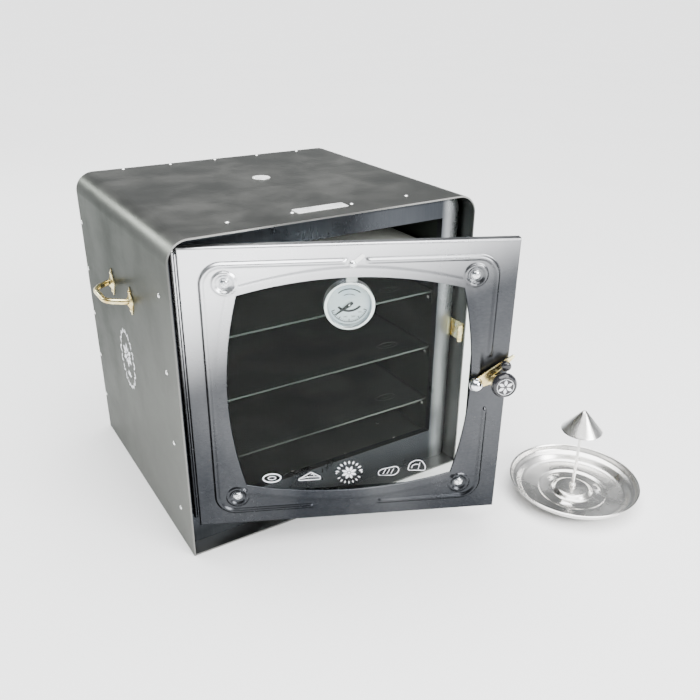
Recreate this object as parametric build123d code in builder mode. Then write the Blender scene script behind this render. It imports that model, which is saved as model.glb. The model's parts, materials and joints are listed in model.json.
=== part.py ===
from build123d import *
import math
import os

os.makedirs("parts", exist_ok=True)

# A stovetop box oven in millimetres: X to the right, the front faces -Y, +Z up.
# The origin is the centre of the flame opening, on the face that the oven stands on.
# The door is modelled part open, at DOOR_ANGLE from closed.

# ---- driving dimensions -------------------------------------------------------------------
WIDTH, DEPTH, HEIGHT = 408.0, 362.0, 400.0
CORNER = 25.0          # outside radius of the two top corners
SHEET = 1.0            # casing sheet
LINER = 0.8            # liner, shelf and door sheet
FIT = 0.15             # gap left between nested sheets
HEM = 8.0              # folded front edge
FRONT, BACK = -DEPTH / 2, DEPTH / 2
SIDE, TOP = WIDTH / 2, HEIGHT

FRAME_Y = -157.0       # front face of the recessed front frame
FRAME_DEPTH = 22.0
FRAME_BEND = 11.0      # large bend where the frame turns back to its flange
MOUTH_W, MOUTH_LOW, MOUTH_HIGH = 342.0, 50.0, 367.0
MOUTH_RETURN = 10.0

FLAME_R, FLAME_COLLAR = 110.0, 6.0
CHAMBER_SIDE, CHAMBER_BACK = 175.0, 150.0
CHAMBER_FRONT = FRAME_Y + SHEET
FLOOR_Z, ROOF_Z, BAFFLE_Z = 40.0, 368.0, 327.0
SHELF_LEVELS = {"lower": 98.0, "middle": 181.0, "upper": 264.0}
SHELF_HALF, SHELF_FRONT, SHELF_LIP = 170.0, -144.0, 2.5
RUNNER_DROP = 0.25     # running gap under a shelf

VENT = (6.0, 30.0)
VENT_R, VENT_TUBE_R = 7.5, 8.3
VENT_CAP_R, VENT_PIVOT_OFF = 12.0, 10.0

RIVET_R, RIVET_SHANK = 2.9, 1.6
RIVET_HOLE = RIVET_SHANK + 0.1
SMALL_SHANK, SMALL_HOLE = 1.2, 1.3
FRONT_ROW_Y, BACK_ROW_Y = -146.0, 175.4
FRONT_ROW_Z = [51.0 + 93.3 * i for i in range(4)]
BACK_ROW_Z = [59.8 + 68.25 * i for i in range(5)]
FRONT_ROW_X = [-120.0, -40.0, 40.0, 120.0]
BACK_ROW_X = [-137.5 + 68.75 * i for i in range(5)]

# Door: the hinge pin's axis, and the door face in its own plane (s to the right, z up).
AXIS_X, AXIS_Y = -190.0, -161.0
DOOR_ANGLE = 24.7
DOOR_W, DOOR_LOW, DOOR_HIGH, DOOR_T = 370.0, 34.0, 389.0, 12.0
DOOR_LEFT, DOOR_FACE = 4.0, 10.0      # from the pin's axis to the door's left side and its face
DOOR_MID = (DOOR_W / 2, (DOOR_LOW + DOOR_HIGH) / 2)
BOSS_HALF, BOSS_R = 137.0, 14.0
WINDOW_CORNER = (125.0, 122.0)
WINDOW_BOW = (141.0, 138.5)
BEAD_HALF, BEAD_W, BEAD_RAISE, BEAD_R = (161.0, 157.5), 9.0, 1.5, 22.0
SEAL_T, GLASS_T = 2.0, 3.0
GLASS_FRONT = -LINER - SEAL_T
GLASS_BACK = GLASS_FRONT - GLASS_T

KNUCKLE_R, PIN_R, PIN_GAP = 3.5, 1.5, 0.05
HINGE_LOW, KNUCKLE_PITCH, KNUCKLES, KNUCKLE_GAP = 42.0, 20.0, 17, 0.4
HINGE_HIGH = HINGE_LOW + KNUCKLE_PITCH * KNUCKLES

DIAL_AT, CAN_R, CAN_DEPTH = (183.0, 315.0), 28.5, 12.0
BRACKET_SCREW = (185.0, 366.0)
NEEDLE_ANGLE = 216.0                  # where the needle points at rest

LATCH_AT = (331.0, 215.0)
LEVER_ANGLE, LEVER_TIP, LEVER_KNOB = 38.9, 53.0, 41.0
KNOB_REACH, KNOB_ANGLE, KNOB_R = 28.9, 14.0, 15.0
LEVER_LOW, LEVER_T = 3.2, 2.5

HANDLE_Y, HANDLE_Z, HANDLE_HALF, HANDLE_OUT, ROD_R = 6.0, 286.0, 39.0, 26.0, 3.0

DISH_AT, DISH_R, DISH_H, DISH_SHEET = (297.0, -325.0), 87.5, 22.0, 0.8
STEM_R, CONE_R, CONE_LOW, CONE_HIGH = 2.0, 27.5, 99.0, 129.0


# ---- shared planes, outlines and forms -----------------------------------------------------
def across(y):
    """The vertical plane facing the front at depth y."""
    return Plane.XZ.offset(-y)


turn = math.radians(DOOR_ANGLE)
SWING = Plane(origin=(AXIS_X, AXIS_Y, 0), x_dir=(math.cos(turn), -math.sin(turn), 0), z_dir=(0, 0, 1))
DOOR = Plane(
    origin=SWING.from_local_coords(Vector(DOOR_LEFT, -DOOR_FACE, 0)),
    x_dir=SWING.x_dir,
    z_dir=-SWING.y_dir,
)


def save(piece, name):
    piece.part.label = name
    export_step(piece.part, f"parts/{name}.step")


def arch(inset, low, mode=Mode.ADD):
    """Cabinet cross-section moved in by inset, with rounded top corners and its base at low."""
    half, top, radius = SIDE - inset, TOP - inset, CORNER - inset
    with BuildLine() as outline:
        Polyline((-half, top - radius), (-half, low), (half, low), (half, top - radius))
        CenterArc((half - radius, top - radius), radius, 0, 90)
        Line((half - radius, top), (radius - half, top))
        CenterArc((radius - half, top - radius), radius, 90, 90)
    make_face(outline.edges(), mode=mode)


def barrel(grow, mode=Mode.ADD):
    """Window outline with four bowed sides, grown by grow."""
    x, z = WINDOW_CORNER[0] + grow, WINDOW_CORNER[1] + grow
    bow_x, bow_z = WINDOW_BOW[0] + grow, WINDOW_BOW[1] + grow
    cx, cz = DOOR_MID
    with BuildLine() as outline:
        ThreePointArc((cx - x, cz - z), (cx, cz - bow_z), (cx + x, cz - z))
        ThreePointArc((cx + x, cz - z), (cx + bow_x, cz), (cx + x, cz + z))
        ThreePointArc((cx + x, cz + z), (cx, cz + bow_z), (cx - x, cz + z))
        ThreePointArc((cx - x, cz + z), (cx - bow_x, cz), (cx - x, cz - z))
    make_face(outline.edges(), mode=mode)


def door_sheet(inset, mode=Mode.ADD):
    with Locations(DOOR_MID):
        Rectangle(DOOR_W - 2 * inset, DOOR_HIGH - DOOR_LOW - 2 * inset, mode=mode)


def corner_points():
    cx, cz = DOOR_MID
    return [(cx + i * BOSS_HALF, cz + j * BOSS_HALF) for i in (-1, 1) for j in (-1, 1)]


def block(x0, x1, y0, y1, z0, z1, mode=Mode.ADD):
    with Locations(((x0 + x1) / 2, (y0 + y1) / 2, (z0 + z1) / 2)):
        Box(abs(x1 - x0), abs(y1 - y0), abs(z1 - z0), mode=mode)


def rivet_form(head_r, head_h, shank_r, shank):
    """A domed rivet whose head stands on the XY plane and whose shank hangs below it."""
    ball = (head_r ** 2 + head_h ** 2) / (2 * head_h)
    half_angle = math.asin(min(1.0, head_r / ball)) / 2
    middle = (ball * math.sin(half_angle), head_h - ball * (1 - math.cos(half_angle)))
    with BuildPart() as form:
        with BuildSketch(Plane.XZ):
            with BuildLine():
                Polyline((0, head_h), (0, -shank), (shank_r, -shank), (shank_r, 0), (head_r, 0))
                ThreePointArc((head_r, 0), middle, (0, head_h))
            make_face()
        revolve(axis=Axis.Z)
    return form.part


def side_plane(side, y, z):
    return Plane(origin=(side * SIDE, y, z), x_dir=(0, side, 0), z_dir=(side, 0, 0))


def top_plane(x, y):
    return Plane(origin=(x, y, TOP), x_dir=(1, 0, 0), z_dir=(0, 0, 1))


def row_planes(y, heights, spots):
    """Outward planes at one ring of rivets round both sides and the top."""
    sides = [side_plane(side, y, z) for side in (-1, 1) for z in heights]
    return sides + [top_plane(x, y) for x in spots]


front_row = row_planes(FRONT_ROW_Y, FRONT_ROW_Z, FRONT_ROW_X)
back_row = row_planes(BACK_ROW_Y, BACK_ROW_Z, BACK_ROW_X)
handle_feet_y = (HANDLE_Y - HANDLE_HALF, HANDLE_Y + HANDLE_HALF)
FOOT_RIVET_UP = 12.0
foot_rivets = {
    side: [side_plane(side, y, HANDLE_Z + up) for y in handle_feet_y for up in (-FOOT_RIVET_UP, FOOT_RIVET_UP)]
    for side in (-1, 1)
}
LEAF_T, LEAF_JOG, LEAF_START, LEAF_END = 1.0, 0.5, 4.3, 14.0
DOOR_LEAF_END = 9.0
leaf_in = KNUCKLE_R - LEAF_T
leaf_near, leaf_far = leaf_in + LEAF_JOG, KNUCKLE_R + LEAF_JOG
leaf_rivet_z = [HINGE_LOW + 34 + 68 * i for i in range(5)]
fixed_leaf_row = [
    Plane(origin=(AXIS_X + 10, AXIS_Y + leaf_near, z), x_dir=(1, 0, 0), z_dir=(0, -1, 0))
    for z in leaf_rivet_z
]
door_leaf_row = [
    Plane(
        origin=SWING.from_local_coords(Vector(leaf_near, -6.6, z)),
        x_dir=(0, 0, 1),
        z_dir=-SWING.x_dir,
    )
    for z in leaf_rivet_z
]
KEEPER_Y, KEEPER_Z = -163.0, (201.0, 214.0)
keeper_row = [side_plane(1, KEEPER_Y, z) for z in KEEPER_Z]


def drill(planes, radius, depth):
    with Locations(*planes):
        Hole(radius, depth=depth)


# ---- casing --------------------------------------------------------------------------------
with BuildPart() as outer_shell:
    with BuildSketch(across(BACK)):
        arch(0, 0)
        arch(SHEET, -1, mode=Mode.SUBTRACT)
    extrude(amount=DEPTH)
    with BuildSketch(across(FRONT + HEM)):
        arch(SHEET, SHEET + FIT)
        arch(2 * SHEET, -1, mode=Mode.SUBTRACT)
    extrude(amount=HEM)
    drill(front_row + back_row + keeper_row + foot_rivets[-1] + foot_rivets[1], RIVET_HOLE, 2 * SHEET)
    drill([top_plane(*VENT)], VENT_R, 2 * SHEET)
    drill([top_plane(VENT[0] - VENT_PIVOT_OFF, VENT[1])], 1.25, 2 * SHEET)
save(outer_shell, "outer_shell")

BASE_HALF = SIDE - SHEET - FIT
with BuildPart() as base_plate:
    block(-BASE_HALF, BASE_HALF, FRONT, BACK - SHEET - FIT, 0, SHEET)
    for side in (-1, 1):
        block(side * BASE_HALF, side * (BASE_HALF - SHEET), FRAME_Y + FRAME_DEPTH + 1, BACK - 14, 0, 12)
    block(-BASE_HALF + SHEET, BASE_HALF - SHEET, FRONT, FRONT + HEM, SHEET, 2 * SHEET)
    with BuildSketch(Plane.XY):
        Circle(FLAME_R + SHEET)
    extrude(amount=FLAME_COLLAR)
    with BuildSketch(Plane.XY):
        Circle(FLAME_R)
    extrude(amount=FLAME_COLLAR, mode=Mode.SUBTRACT)
save(base_plate, "base_plate")

BACK_FLANGE = 12.0
PANEL_LOW = SHEET + FIT
with BuildPart() as back_panel:
    with BuildSketch(across(BACK)):
        arch(SHEET + FIT, PANEL_LOW)
    extrude(amount=SHEET + BACK_FLANGE)
    with BuildSketch(across(BACK - SHEET)):
        arch(2 * SHEET + FIT, PANEL_LOW + SHEET)
    extrude(amount=BACK_FLANGE, mode=Mode.SUBTRACT)
    with BuildSketch(across(BACK - SHEET)):
        with Locations((0, TOP / 2)):
            RectangleRounded(300, 290, 20)
            RectangleRounded(284, 274, 12, mode=Mode.SUBTRACT)
    extrude(amount=1.5)
    drill(back_row, RIVET_HOLE, 3 * SHEET)
save(back_panel, "back_panel")

with BuildPart() as front_frame:
    with BuildSketch(across(FRAME_Y + FRAME_DEPTH)):
        arch(SHEET + FIT, PANEL_LOW)
    extrude(amount=FRAME_DEPTH)
    rim = front_frame.faces().sort_by(Axis.Y)[0].outer_wire().edges().sort_by(Axis.Z)[1:]
    fillet(rim, FRAME_BEND)
    offset(amount=-SHEET, openings=front_frame.faces().sort_by(Axis.Y)[-1])
    mouth_mid = (0, (MOUTH_LOW + MOUTH_HIGH) / 2)
    mouth_h = MOUTH_HIGH - MOUTH_LOW
    with BuildSketch(across(FRAME_Y + MOUTH_RETURN)):
        with Locations(mouth_mid):
            Rectangle(MOUTH_W + 2 * SHEET, mouth_h + 2 * SHEET)
    extrude(amount=MOUTH_RETURN)
    with BuildSketch(across(FRAME_Y + MOUTH_RETURN)):
        with Locations(mouth_mid):
            Rectangle(MOUTH_W, mouth_h)
    extrude(amount=MOUTH_RETURN, mode=Mode.SUBTRACT)
    drill(front_row, RIVET_HOLE, 3 * SHEET)
    drill([p.offset(-LEAF_T) for p in fixed_leaf_row], SMALL_HOLE, 2)
save(front_frame, "front_frame")

casing_rivet = rivet_form(RIVET_R, 1.3, RIVET_SHANK, 2 * SHEET + 2 * FIT)
for row_name, row in (("front_rivets", front_row), ("back_rivets", back_row)):
    with BuildPart() as rivets:
        with Locations(*row):
            add(casing_rivet)
    save(rivets, row_name)

LABEL_W, LABEL_D, LABEL_T = 68.0, 18.0, 0.6
with BuildPart() as label_plate:
    with BuildSketch(Plane.XY.offset(TOP)):
        with Locations((-2, -144.5)):
            RectangleRounded(LABEL_W, LABEL_D, 2.0)
    extrude(amount=LABEL_T)
    chamfer(label_plate.faces().sort_by(Axis.Z)[-1].edges(), 0.25)
save(label_plate, "label_plate")

# ---- roof vent -----------------------------------------------------------------------------
VENT_FLANGE_R = 14.0
with BuildPart() as vent_tube:
    with BuildSketch(Plane.XY.offset(ROOF_Z - 6)):
        with Locations(VENT):
            Circle(VENT_TUBE_R)
    extrude(amount=TOP - SHEET - ROOF_Z + 6)
    with BuildSketch(Plane.XY.offset(ROOF_Z + LINER)):
        with Locations(VENT):
            Circle(VENT_FLANGE_R)
    extrude(amount=LINER)
    with BuildSketch(Plane.XY.offset(ROOF_Z - 6)):
        with Locations(VENT):
            Circle(VENT_R)
    extrude(amount=TOP - ROOF_Z + 6, mode=Mode.SUBTRACT)
save(vent_tube, "vent_tube")

VENT_PIVOT = (VENT[0] - VENT_PIVOT_OFF, VENT[1])
CAP_LIFT, CAP_T = 0.3, 0.9
with BuildPart() as vent_cap:
    with BuildSketch(Plane.XY.offset(TOP + CAP_LIFT)):
        with Locations(VENT):
            Circle(VENT_CAP_R)
        with Locations(VENT_PIVOT):
            Circle(1.2 + PIN_GAP, mode=Mode.SUBTRACT)
    extrude(amount=CAP_T)
    fillet(vent_cap.faces().sort_by(Axis.Z)[-1].outer_wire().edges(), 0.5)
save(vent_cap, "vent_cap")

with BuildPart() as vent_rivet:
    with Locations(Plane(origin=(*VENT_PIVOT, TOP + CAP_LIFT + CAP_T + 0.1))):
        add(rivet_form(2.0, 0.9, 1.2, CAP_LIFT + CAP_T + 0.1 + SHEET + 0.5))
save(vent_rivet, "vent_rivet")

# ---- oven chamber --------------------------------------------------------------------------
LINER_FLANGE = 10.0
CHAMBER_LOW, CHAMBER_HIGH = FLOOR_Z, ROOF_Z
RUNNER_LEVELS = list(SHELF_LEVELS.values()) + [BAFFLE_Z]
RUNNER_RIVET_DROP = 14.0
RUNNER_RIVET_Y = (-132.0, 0.0, 132.0)
runner_sites = [(y, level - RUNNER_RIVET_DROP) for level in RUNNER_LEVELS for y in RUNNER_RIVET_Y]


def wall_planes(side):
    """Planes at the runner rivets, on the chamber's inner face and facing into the chamber."""
    return [
        Plane(origin=(side * (CHAMBER_SIDE - LINER), y, z), x_dir=(0, -side, 0), z_dir=(-side, 0, 0))
        for y, z in runner_sites
    ]


def inner_wall(side):
    x_in, x_out = side * CHAMBER_SIDE, side * (CHAMBER_SIDE + LINER)
    x_lip = side * (CHAMBER_SIDE + LINER_FLANGE)
    with BuildPart() as wall:
        block(x_in, x_out, CHAMBER_FRONT, CHAMBER_BACK, CHAMBER_LOW, CHAMBER_HIGH)
        block(x_out, x_lip, CHAMBER_FRONT, CHAMBER_FRONT + LINER, CHAMBER_LOW, CHAMBER_HIGH)
        block(x_out, x_lip, CHAMBER_BACK - LINER, CHAMBER_BACK, CHAMBER_LOW, CHAMBER_HIGH)
        drill(wall_planes(side), SMALL_HOLE, 4)
    return wall


for side, word in ((-1, "left"), (1, "right")):
    save(inner_wall(side), f"inner_wall_{word}")

with BuildPart() as inner_wall_back:
    block(
        -CHAMBER_SIDE - LINER_FLANGE, CHAMBER_SIDE + LINER_FLANGE,
        CHAMBER_BACK, CHAMBER_BACK + LINER, CHAMBER_LOW, CHAMBER_HIGH,
    )
save(inner_wall_back, "inner_wall_back")


def liner_tray(z_low, z_flange, half, front, back):
    """A flat liner sheet with a flange on each side that runs to z_flange."""
    with BuildPart() as tray:
        block(-half, half, front, back, z_low, z_low + LINER)
        for side in (-1, 1):
            block(side * half, side * (half - LINER), front, back, z_low, z_flange)
        block(-half, half, front, front + LINER, z_low, z_flange)
        block(-half, half, back - LINER, back, z_low, z_flange)
    return tray


FLOOR_RIVETS = [(x, -135.0) for x in (-125.0, -42.0, 42.0, 125.0)]
SPREADER_RIVETS = [(i * 127.0, j * 87.0) for i in (-1, 1) for j in (-1, 1)]
FLOOR_HALF = CHAMBER_SIDE + LINER_FLANGE
floor_front, floor_back = CHAMBER_FRONT, CHAMBER_BACK + LINER
oven_floor = liner_tray(FLOOR_Z - LINER, FLOOR_Z - 9, FLOOR_HALF, floor_front, floor_back)
with oven_floor:
    drill([Plane(origin=(x, y, FLOOR_Z)) for x, y in FLOOR_RIVETS + SPREADER_RIVETS], SMALL_HOLE, 2)
save(oven_floor, "oven_floor")

inner_roof = liner_tray(ROOF_Z, ROOF_Z + 9, FLOOR_HALF, floor_front, floor_back)
with inner_roof:
    drill([Plane(origin=(*VENT, ROOF_Z + LINER))], VENT_TUBE_R + 0.1, 2)
save(inner_roof, "inner_roof")

SPREADER_HALF, SPREADER_DEEP, SPREADER_RIM = (122.0, 82.0), 9.0, 12.0
with BuildPart() as heat_spreader:
    under_floor = FLOOR_Z - LINER
    with BuildSketch(Plane.XY.offset(under_floor)):
        RectangleRounded(2 * (SPREADER_HALF[0] + SPREADER_RIM), 2 * (SPREADER_HALF[1] + SPREADER_RIM), 10)
    extrude(amount=-LINER)
    with BuildSketch(Plane.XY.offset(under_floor)):
        RectangleRounded(2 * SPREADER_HALF[0], 2 * SPREADER_HALF[1], 8)
    extrude(amount=-SPREADER_DEEP)
    with BuildSketch(Plane.XY.offset(under_floor)):
        RectangleRounded(2 * (SPREADER_HALF[0] - LINER), 2 * (SPREADER_HALF[1] - LINER), 7)
    extrude(amount=LINER - SPREADER_DEEP, mode=Mode.SUBTRACT)
    drill([Plane(origin=(x, y, under_floor)) for x, y in SPREADER_RIVETS], SMALL_HOLE, 2)
save(heat_spreader, "heat_spreader")

sheet_rivet = rivet_form(2.4, 1.0, SMALL_SHANK, LINER)
lap_rivet = rivet_form(2.4, 1.0, SMALL_SHANK, 2 * LINER)
with BuildPart() as floor_rivets:
    with Locations(*[Plane(origin=(x, y, FLOOR_Z)) for x, y in FLOOR_RIVETS]):
        add(sheet_rivet)
    with Locations(*[Plane(origin=(x, y, FLOOR_Z)) for x, y in SPREADER_RIVETS]):
        add(lap_rivet)
save(floor_rivets, "floor_rivets")

RUNNER_LEG, RUNNER_REACH = 21.0, 13.0
RUNNER_FRONT, RUNNER_BACK = -140.0, 146.0
for side, word in ((-1, "left"), (1, "right")):
    with BuildPart() as shelf_runners:
        for level in RUNNER_LEVELS:
            ledge = level - LINER - RUNNER_DROP
            wall_x = side * CHAMBER_SIDE
            block(wall_x, wall_x - side * LINER, RUNNER_FRONT, RUNNER_BACK, ledge - RUNNER_LEG, ledge)
            block(
                wall_x, wall_x - side * RUNNER_REACH,
                RUNNER_FRONT, RUNNER_BACK, ledge - LINER, ledge,
            )
        drill(wall_planes(side), SMALL_HOLE, 2)
    save(shelf_runners, f"shelf_runners_{word}")
    with BuildPart() as runner_rivets:
        with Locations(*wall_planes(side)):
            add(lap_rivet)
    save(runner_rivets, f"runner_rivets_{word}")

with BuildPart() as top_baffle:
    baffle_low = BAFFLE_Z - LINER - RUNNER_DROP
    block(-SHELF_HALF, SHELF_HALF, -148, 140, baffle_low, baffle_low + LINER)
    block(-SHELF_HALF, SHELF_HALF, -148, -148 + LINER, baffle_low - 5, baffle_low)
    block(-SHELF_HALF, SHELF_HALF, 140 - LINER, 140, baffle_low, baffle_low + 5)
save(top_baffle, "top_baffle")

# ---- shelves -------------------------------------------------------------------------------
SHELF_BACK = 146.0
SHELF_MARK = (123.0, -112.0)
for word, level in SHELF_LEVELS.items():
    with BuildPart() as shelf:
        block(-SHELF_HALF, SHELF_HALF, SHELF_FRONT, SHELF_BACK, level - LINER, level)
        block(-SHELF_HALF, SHELF_HALF, SHELF_FRONT, SHELF_FRONT + LINER, level - SHELF_LIP, level)
        with BuildSketch(Plane.XY.offset(level)):
            with Locations(SHELF_MARK):
                Ellipse(17, 9)
                Ellipse(14.5, 6.5, mode=Mode.SUBTRACT)
                Ellipse(7, 3)
        extrude(amount=0.5)
    save(shelf, f"shelf_{word}")

# ---- hinge ---------------------------------------------------------------------------------

def knuckle_span(i):
    low = HINGE_LOW + KNUCKLE_PITCH * i + KNUCKLE_GAP / 2
    return low, KNUCKLE_PITCH - KNUCKLE_GAP


def knuckles(base, first, tab):
    """Every second knuckle from first, each with the tab that joins it to its leaf."""
    for i in range(first, KNUCKLES, 2):
        low, length = knuckle_span(i)
        with BuildSketch(base.offset(low)) as section:
            Circle(KNUCKLE_R)
            with BuildLine():
                Polyline(*tab, close=True)
            make_face()
            Circle(PIN_R + PIN_GAP, mode=Mode.SUBTRACT)
        extrude(section.sketch, amount=length)


FIXED = Plane(origin=(AXIS_X, AXIS_Y, 0))
with BuildPart() as hinge_leaf_fixed:
    with BuildSketch(FIXED.offset(HINGE_LOW)):
        with Locations(((LEAF_START + LEAF_END) / 2, (leaf_near + leaf_far) / 2)):
            Rectangle(LEAF_END - LEAF_START, LEAF_T)
    extrude(amount=HINGE_HIGH - HINGE_LOW)
    knuckles(FIXED, 0, [(0, leaf_in), (0, KNUCKLE_R), (LEAF_START, leaf_far), (LEAF_START, leaf_near)])
    drill(fixed_leaf_row, SMALL_HOLE, 2)
save(hinge_leaf_fixed, "hinge_leaf_fixed")

with BuildPart() as hinge_leaf_door:
    with BuildSketch(SWING.offset(HINGE_LOW)):
        with Locations(((leaf_near + leaf_far) / 2, -(LEAF_START + DOOR_LEAF_END) / 2)):
            Rectangle(LEAF_T, DOOR_LEAF_END - LEAF_START)
    extrude(amount=HINGE_HIGH - HINGE_LOW)
    knuckles(SWING, 1, [(leaf_in, 0), (KNUCKLE_R, 0), (leaf_far, -LEAF_START), (leaf_near, -LEAF_START)])
    drill(door_leaf_row, SMALL_HOLE, 2)
save(hinge_leaf_door, "hinge_leaf_door")

with BuildPart() as hinge_pin:
    with BuildSketch(FIXED.offset(HINGE_LOW - 1)):
        Circle(PIN_R)
    extrude(amount=HINGE_HIGH - HINGE_LOW + 2)
    with BuildSketch(FIXED.offset(HINGE_HIGH + 0.5)):
        Circle(2.6)
    extrude(amount=1.5)
save(hinge_pin, "hinge_pin")

with BuildPart() as hinge_rivets_door:
    with Locations(*door_leaf_row):
        add(rivet_form(2.2, 0.5, SMALL_SHANK, LEAF_T + LINER))
save(hinge_rivets_door, "hinge_rivets_door")

# ---- latch keeper and the rivets of the recess ---------------------------------------------
KEEPER_X, TONGUE_X = 202.0, 193.0
TONGUE_Y = -177.2
with BuildPart() as keeper:
    block(KEEPER_X - SHEET, KEEPER_X, TONGUE_Y - 1.4, -153, 195, 221)
    with BuildSketch(across(TONGUE_Y)):
        with Locations(((TONGUE_X + KEEPER_X) / 2, 207)):
            RectangleRounded(KEEPER_X - TONGUE_X, 24, 2.5)
    extrude(amount=1.4)
    drill([Plane(origin=(KEEPER_X, KEEPER_Y, z), x_dir=(0, 1, 0), z_dir=(1, 0, 0)) for z in KEEPER_Z], RIVET_HOLE, 3)
save(keeper, "keeper")

keeper_rivet = rivet_form(RIVET_R, 1.3, RIVET_SHANK, 3 * SHEET)
with BuildPart() as recess_rivets:
    with Locations(*fixed_leaf_row):
        add(rivet_form(2.2, 0.5, SMALL_SHANK, LEAF_T + SHEET))
    with Locations(*keeper_row):
        add(keeper_rivet)
save(recess_rivets, "recess_rivets")

# ---- carrying handles ----------------------------------------------------------------------
FOOT_T, FOOT_HALF_W, FOOT_HALF_H = 1.5, 8.5, 18.0
BOSS_OUT = 3.5


def handle(side):
    """A bent rod that stands out from the side wall and runs level between its two feet."""
    start = side * (SIDE + FOOT_T)
    outer = side * (SIDE + FOOT_T + HANDLE_OUT)
    lead = start + side * 6
    y0, y1 = handle_feet_y
    slope = 17.0
    with BuildPart() as bow:
        with BuildLine(Plane.XY.offset(HANDLE_Z)) as path:
            FilletPolyline(
                (start, y1), (lead, y1), (outer, y1 - slope), (outer, y0 + slope), (lead, y0), (start, y0),
                radius=7,
            )
        with BuildSketch(Plane(origin=path.line @ 0, z_dir=path.line % 0)):
            Circle(ROD_R)
        sweep()
    return bow


def handle_feet(side):
    """Two leaf-shaped pressed feet, each with a collar that the rod stands in."""
    with BuildPart() as feet:
        for y in handle_feet_y:
            base = side_plane(side, y, HANDLE_Z)
            with BuildSketch(base):
                with BuildLine():
                    Polyline(
                        (0, FOOT_HALF_H), (-FOOT_HALF_W, 0), (0, -FOOT_HALF_H), (FOOT_HALF_W, 0), close=True
                    )
                leaf = make_face()
                fillet(leaf.vertices(), 3.0)
            extrude(amount=FOOT_T)
            with BuildSketch(base.offset(FOOT_T)):
                Circle(ROD_R + 2.2)
                Circle(ROD_R + 0.1, mode=Mode.SUBTRACT)
            extrude(amount=BOSS_OUT)
        drill([p.offset(FOOT_T) for p in foot_rivets[side]], RIVET_HOLE, 4)
        return feet


foot_rivet = rivet_form(2.6, 1.4, RIVET_SHANK, FOOT_T + SHEET + 0.5)
for side, word in ((-1, "left"), (1, "right")):
    save(handle(side), f"handle_{word}")
    save(handle_feet(side), f"handle_feet_{word}")
with BuildPart() as handle_rivets:
    with Locations(*[p.offset(FOOT_T) for side in (-1, 1) for p in foot_rivets[side]]):
        add(foot_rivet)
save(handle_rivets, "handle_rivets")

# ---- door ----------------------------------------------------------------------------------
SCREW_R, SCREW_HOLE = 2.0, 2.2
TAB_AT = Location((BRACKET_SCREW[0] + 6.5, BRACKET_SCREW[1] + 5.5, 0), (0, 0, 40))
BACK_FRAME_Z = -DOOR_T + 1.3
BACK_FRAME_OPEN = (284.0, 279.0)

with BuildPart() as door_skin:
    with BuildSketch(DOOR):
        door_sheet(0)
    extrude(amount=-DOOR_T)
    with BuildSketch(DOOR.offset(-LINER)):
        door_sheet(LINER)
    extrude(amount=-DOOR_T, mode=Mode.SUBTRACT)
    with BuildSketch(DOOR):
        with Locations(DOOR_MID):
            RectangleRounded(2 * BEAD_HALF[0] + BEAD_W, 2 * BEAD_HALF[1] + BEAD_W, BEAD_R + BEAD_W / 2)
            RectangleRounded(
                2 * BEAD_HALF[0] - BEAD_W, 2 * BEAD_HALF[1] - BEAD_W, BEAD_R - BEAD_W / 2, mode=Mode.SUBTRACT
            )
        with Locations((DOOR_MID[0] + BEAD_HALF[0], LATCH_AT[1])):
            Rectangle(2 * BEAD_W, 68, mode=Mode.SUBTRACT)
        with Locations((DOOR_MID[0] - 5, DOOR_MID[1] - BEAD_HALF[1])):
            Rectangle(80, 2 * BEAD_W, mode=Mode.SUBTRACT)
        with Locations(BRACKET_SCREW):
            Circle(8, mode=Mode.SUBTRACT)
        with Locations(TAB_AT):
            RectangleRounded(15, 5.6, 1.8, mode=Mode.SUBTRACT)
        with Locations(*corner_points()):
            Circle(BOSS_R)
            Circle(BOSS_R - 4, mode=Mode.SUBTRACT)
    extrude(amount=BEAD_RAISE)
    with BuildSketch(DOOR):
        barrel(0)
        with Locations(*corner_points(), BRACKET_SCREW, LATCH_AT):
            Circle(SCREW_HOLE)
    extrude(amount=-2 * LINER, mode=Mode.SUBTRACT)
    drill([p.offset(-LEAF_T) for p in door_leaf_row], SMALL_HOLE, 2)
save(door_skin, "door_skin")

with BuildPart() as door_back_frame:
    with BuildSketch(DOOR.offset(BACK_FRAME_Z)):
        door_sheet(LINER + FIT)
        with Locations(DOOR_MID):
            RectangleRounded(*BACK_FRAME_OPEN, 6, mode=Mode.SUBTRACT)
    extrude(amount=-LINER)
    with BuildSketch(DOOR.offset(GLASS_BACK)):
        with Locations(DOOR_MID):
            RectangleRounded(BACK_FRAME_OPEN[0] + 2 * LINER, BACK_FRAME_OPEN[1] + 2 * LINER, 6.8)
            RectangleRounded(*BACK_FRAME_OPEN, 6, mode=Mode.SUBTRACT)
        with Locations((DIAL_AT[0], DOOR_HIGH - 42)):
            Rectangle(16, 20, mode=Mode.SUBTRACT)
    extrude(amount=BACK_FRAME_Z - GLASS_BACK - LINER)
    with BuildSketch(DOOR.offset(BACK_FRAME_Z)):
        with Locations(*corner_points()):
            Circle(SCREW_HOLE)
        with Locations(BRACKET_SCREW):
            Rectangle(16, 14)
    extrude(amount=-LINER, mode=Mode.SUBTRACT)
save(door_back_frame, "door_back_frame")

GLASS_GROW = 5.0
with BuildPart() as window_glass:
    with BuildSketch(DOOR.offset(GLASS_FRONT)):
        barrel(GLASS_GROW)
    extrude(amount=-GLASS_T)
save(window_glass, "window_glass")

with BuildPart() as glass_seal:
    with BuildSketch(DOOR.offset(-LINER)):
        barrel(GLASS_GROW)
        barrel(1.0, mode=Mode.SUBTRACT)
    extrude(amount=-SEAL_T)
save(glass_seal, "glass_seal")


def door_planes(points, height):
    """Planes parallel to the door face, height in front of it, at the points."""
    return [
        Plane(origin=DOOR.from_local_coords(Vector(*p, height)), x_dir=DOOR.x_dir, z_dir=DOOR.z_dir)
        for p in points
    ]


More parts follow.
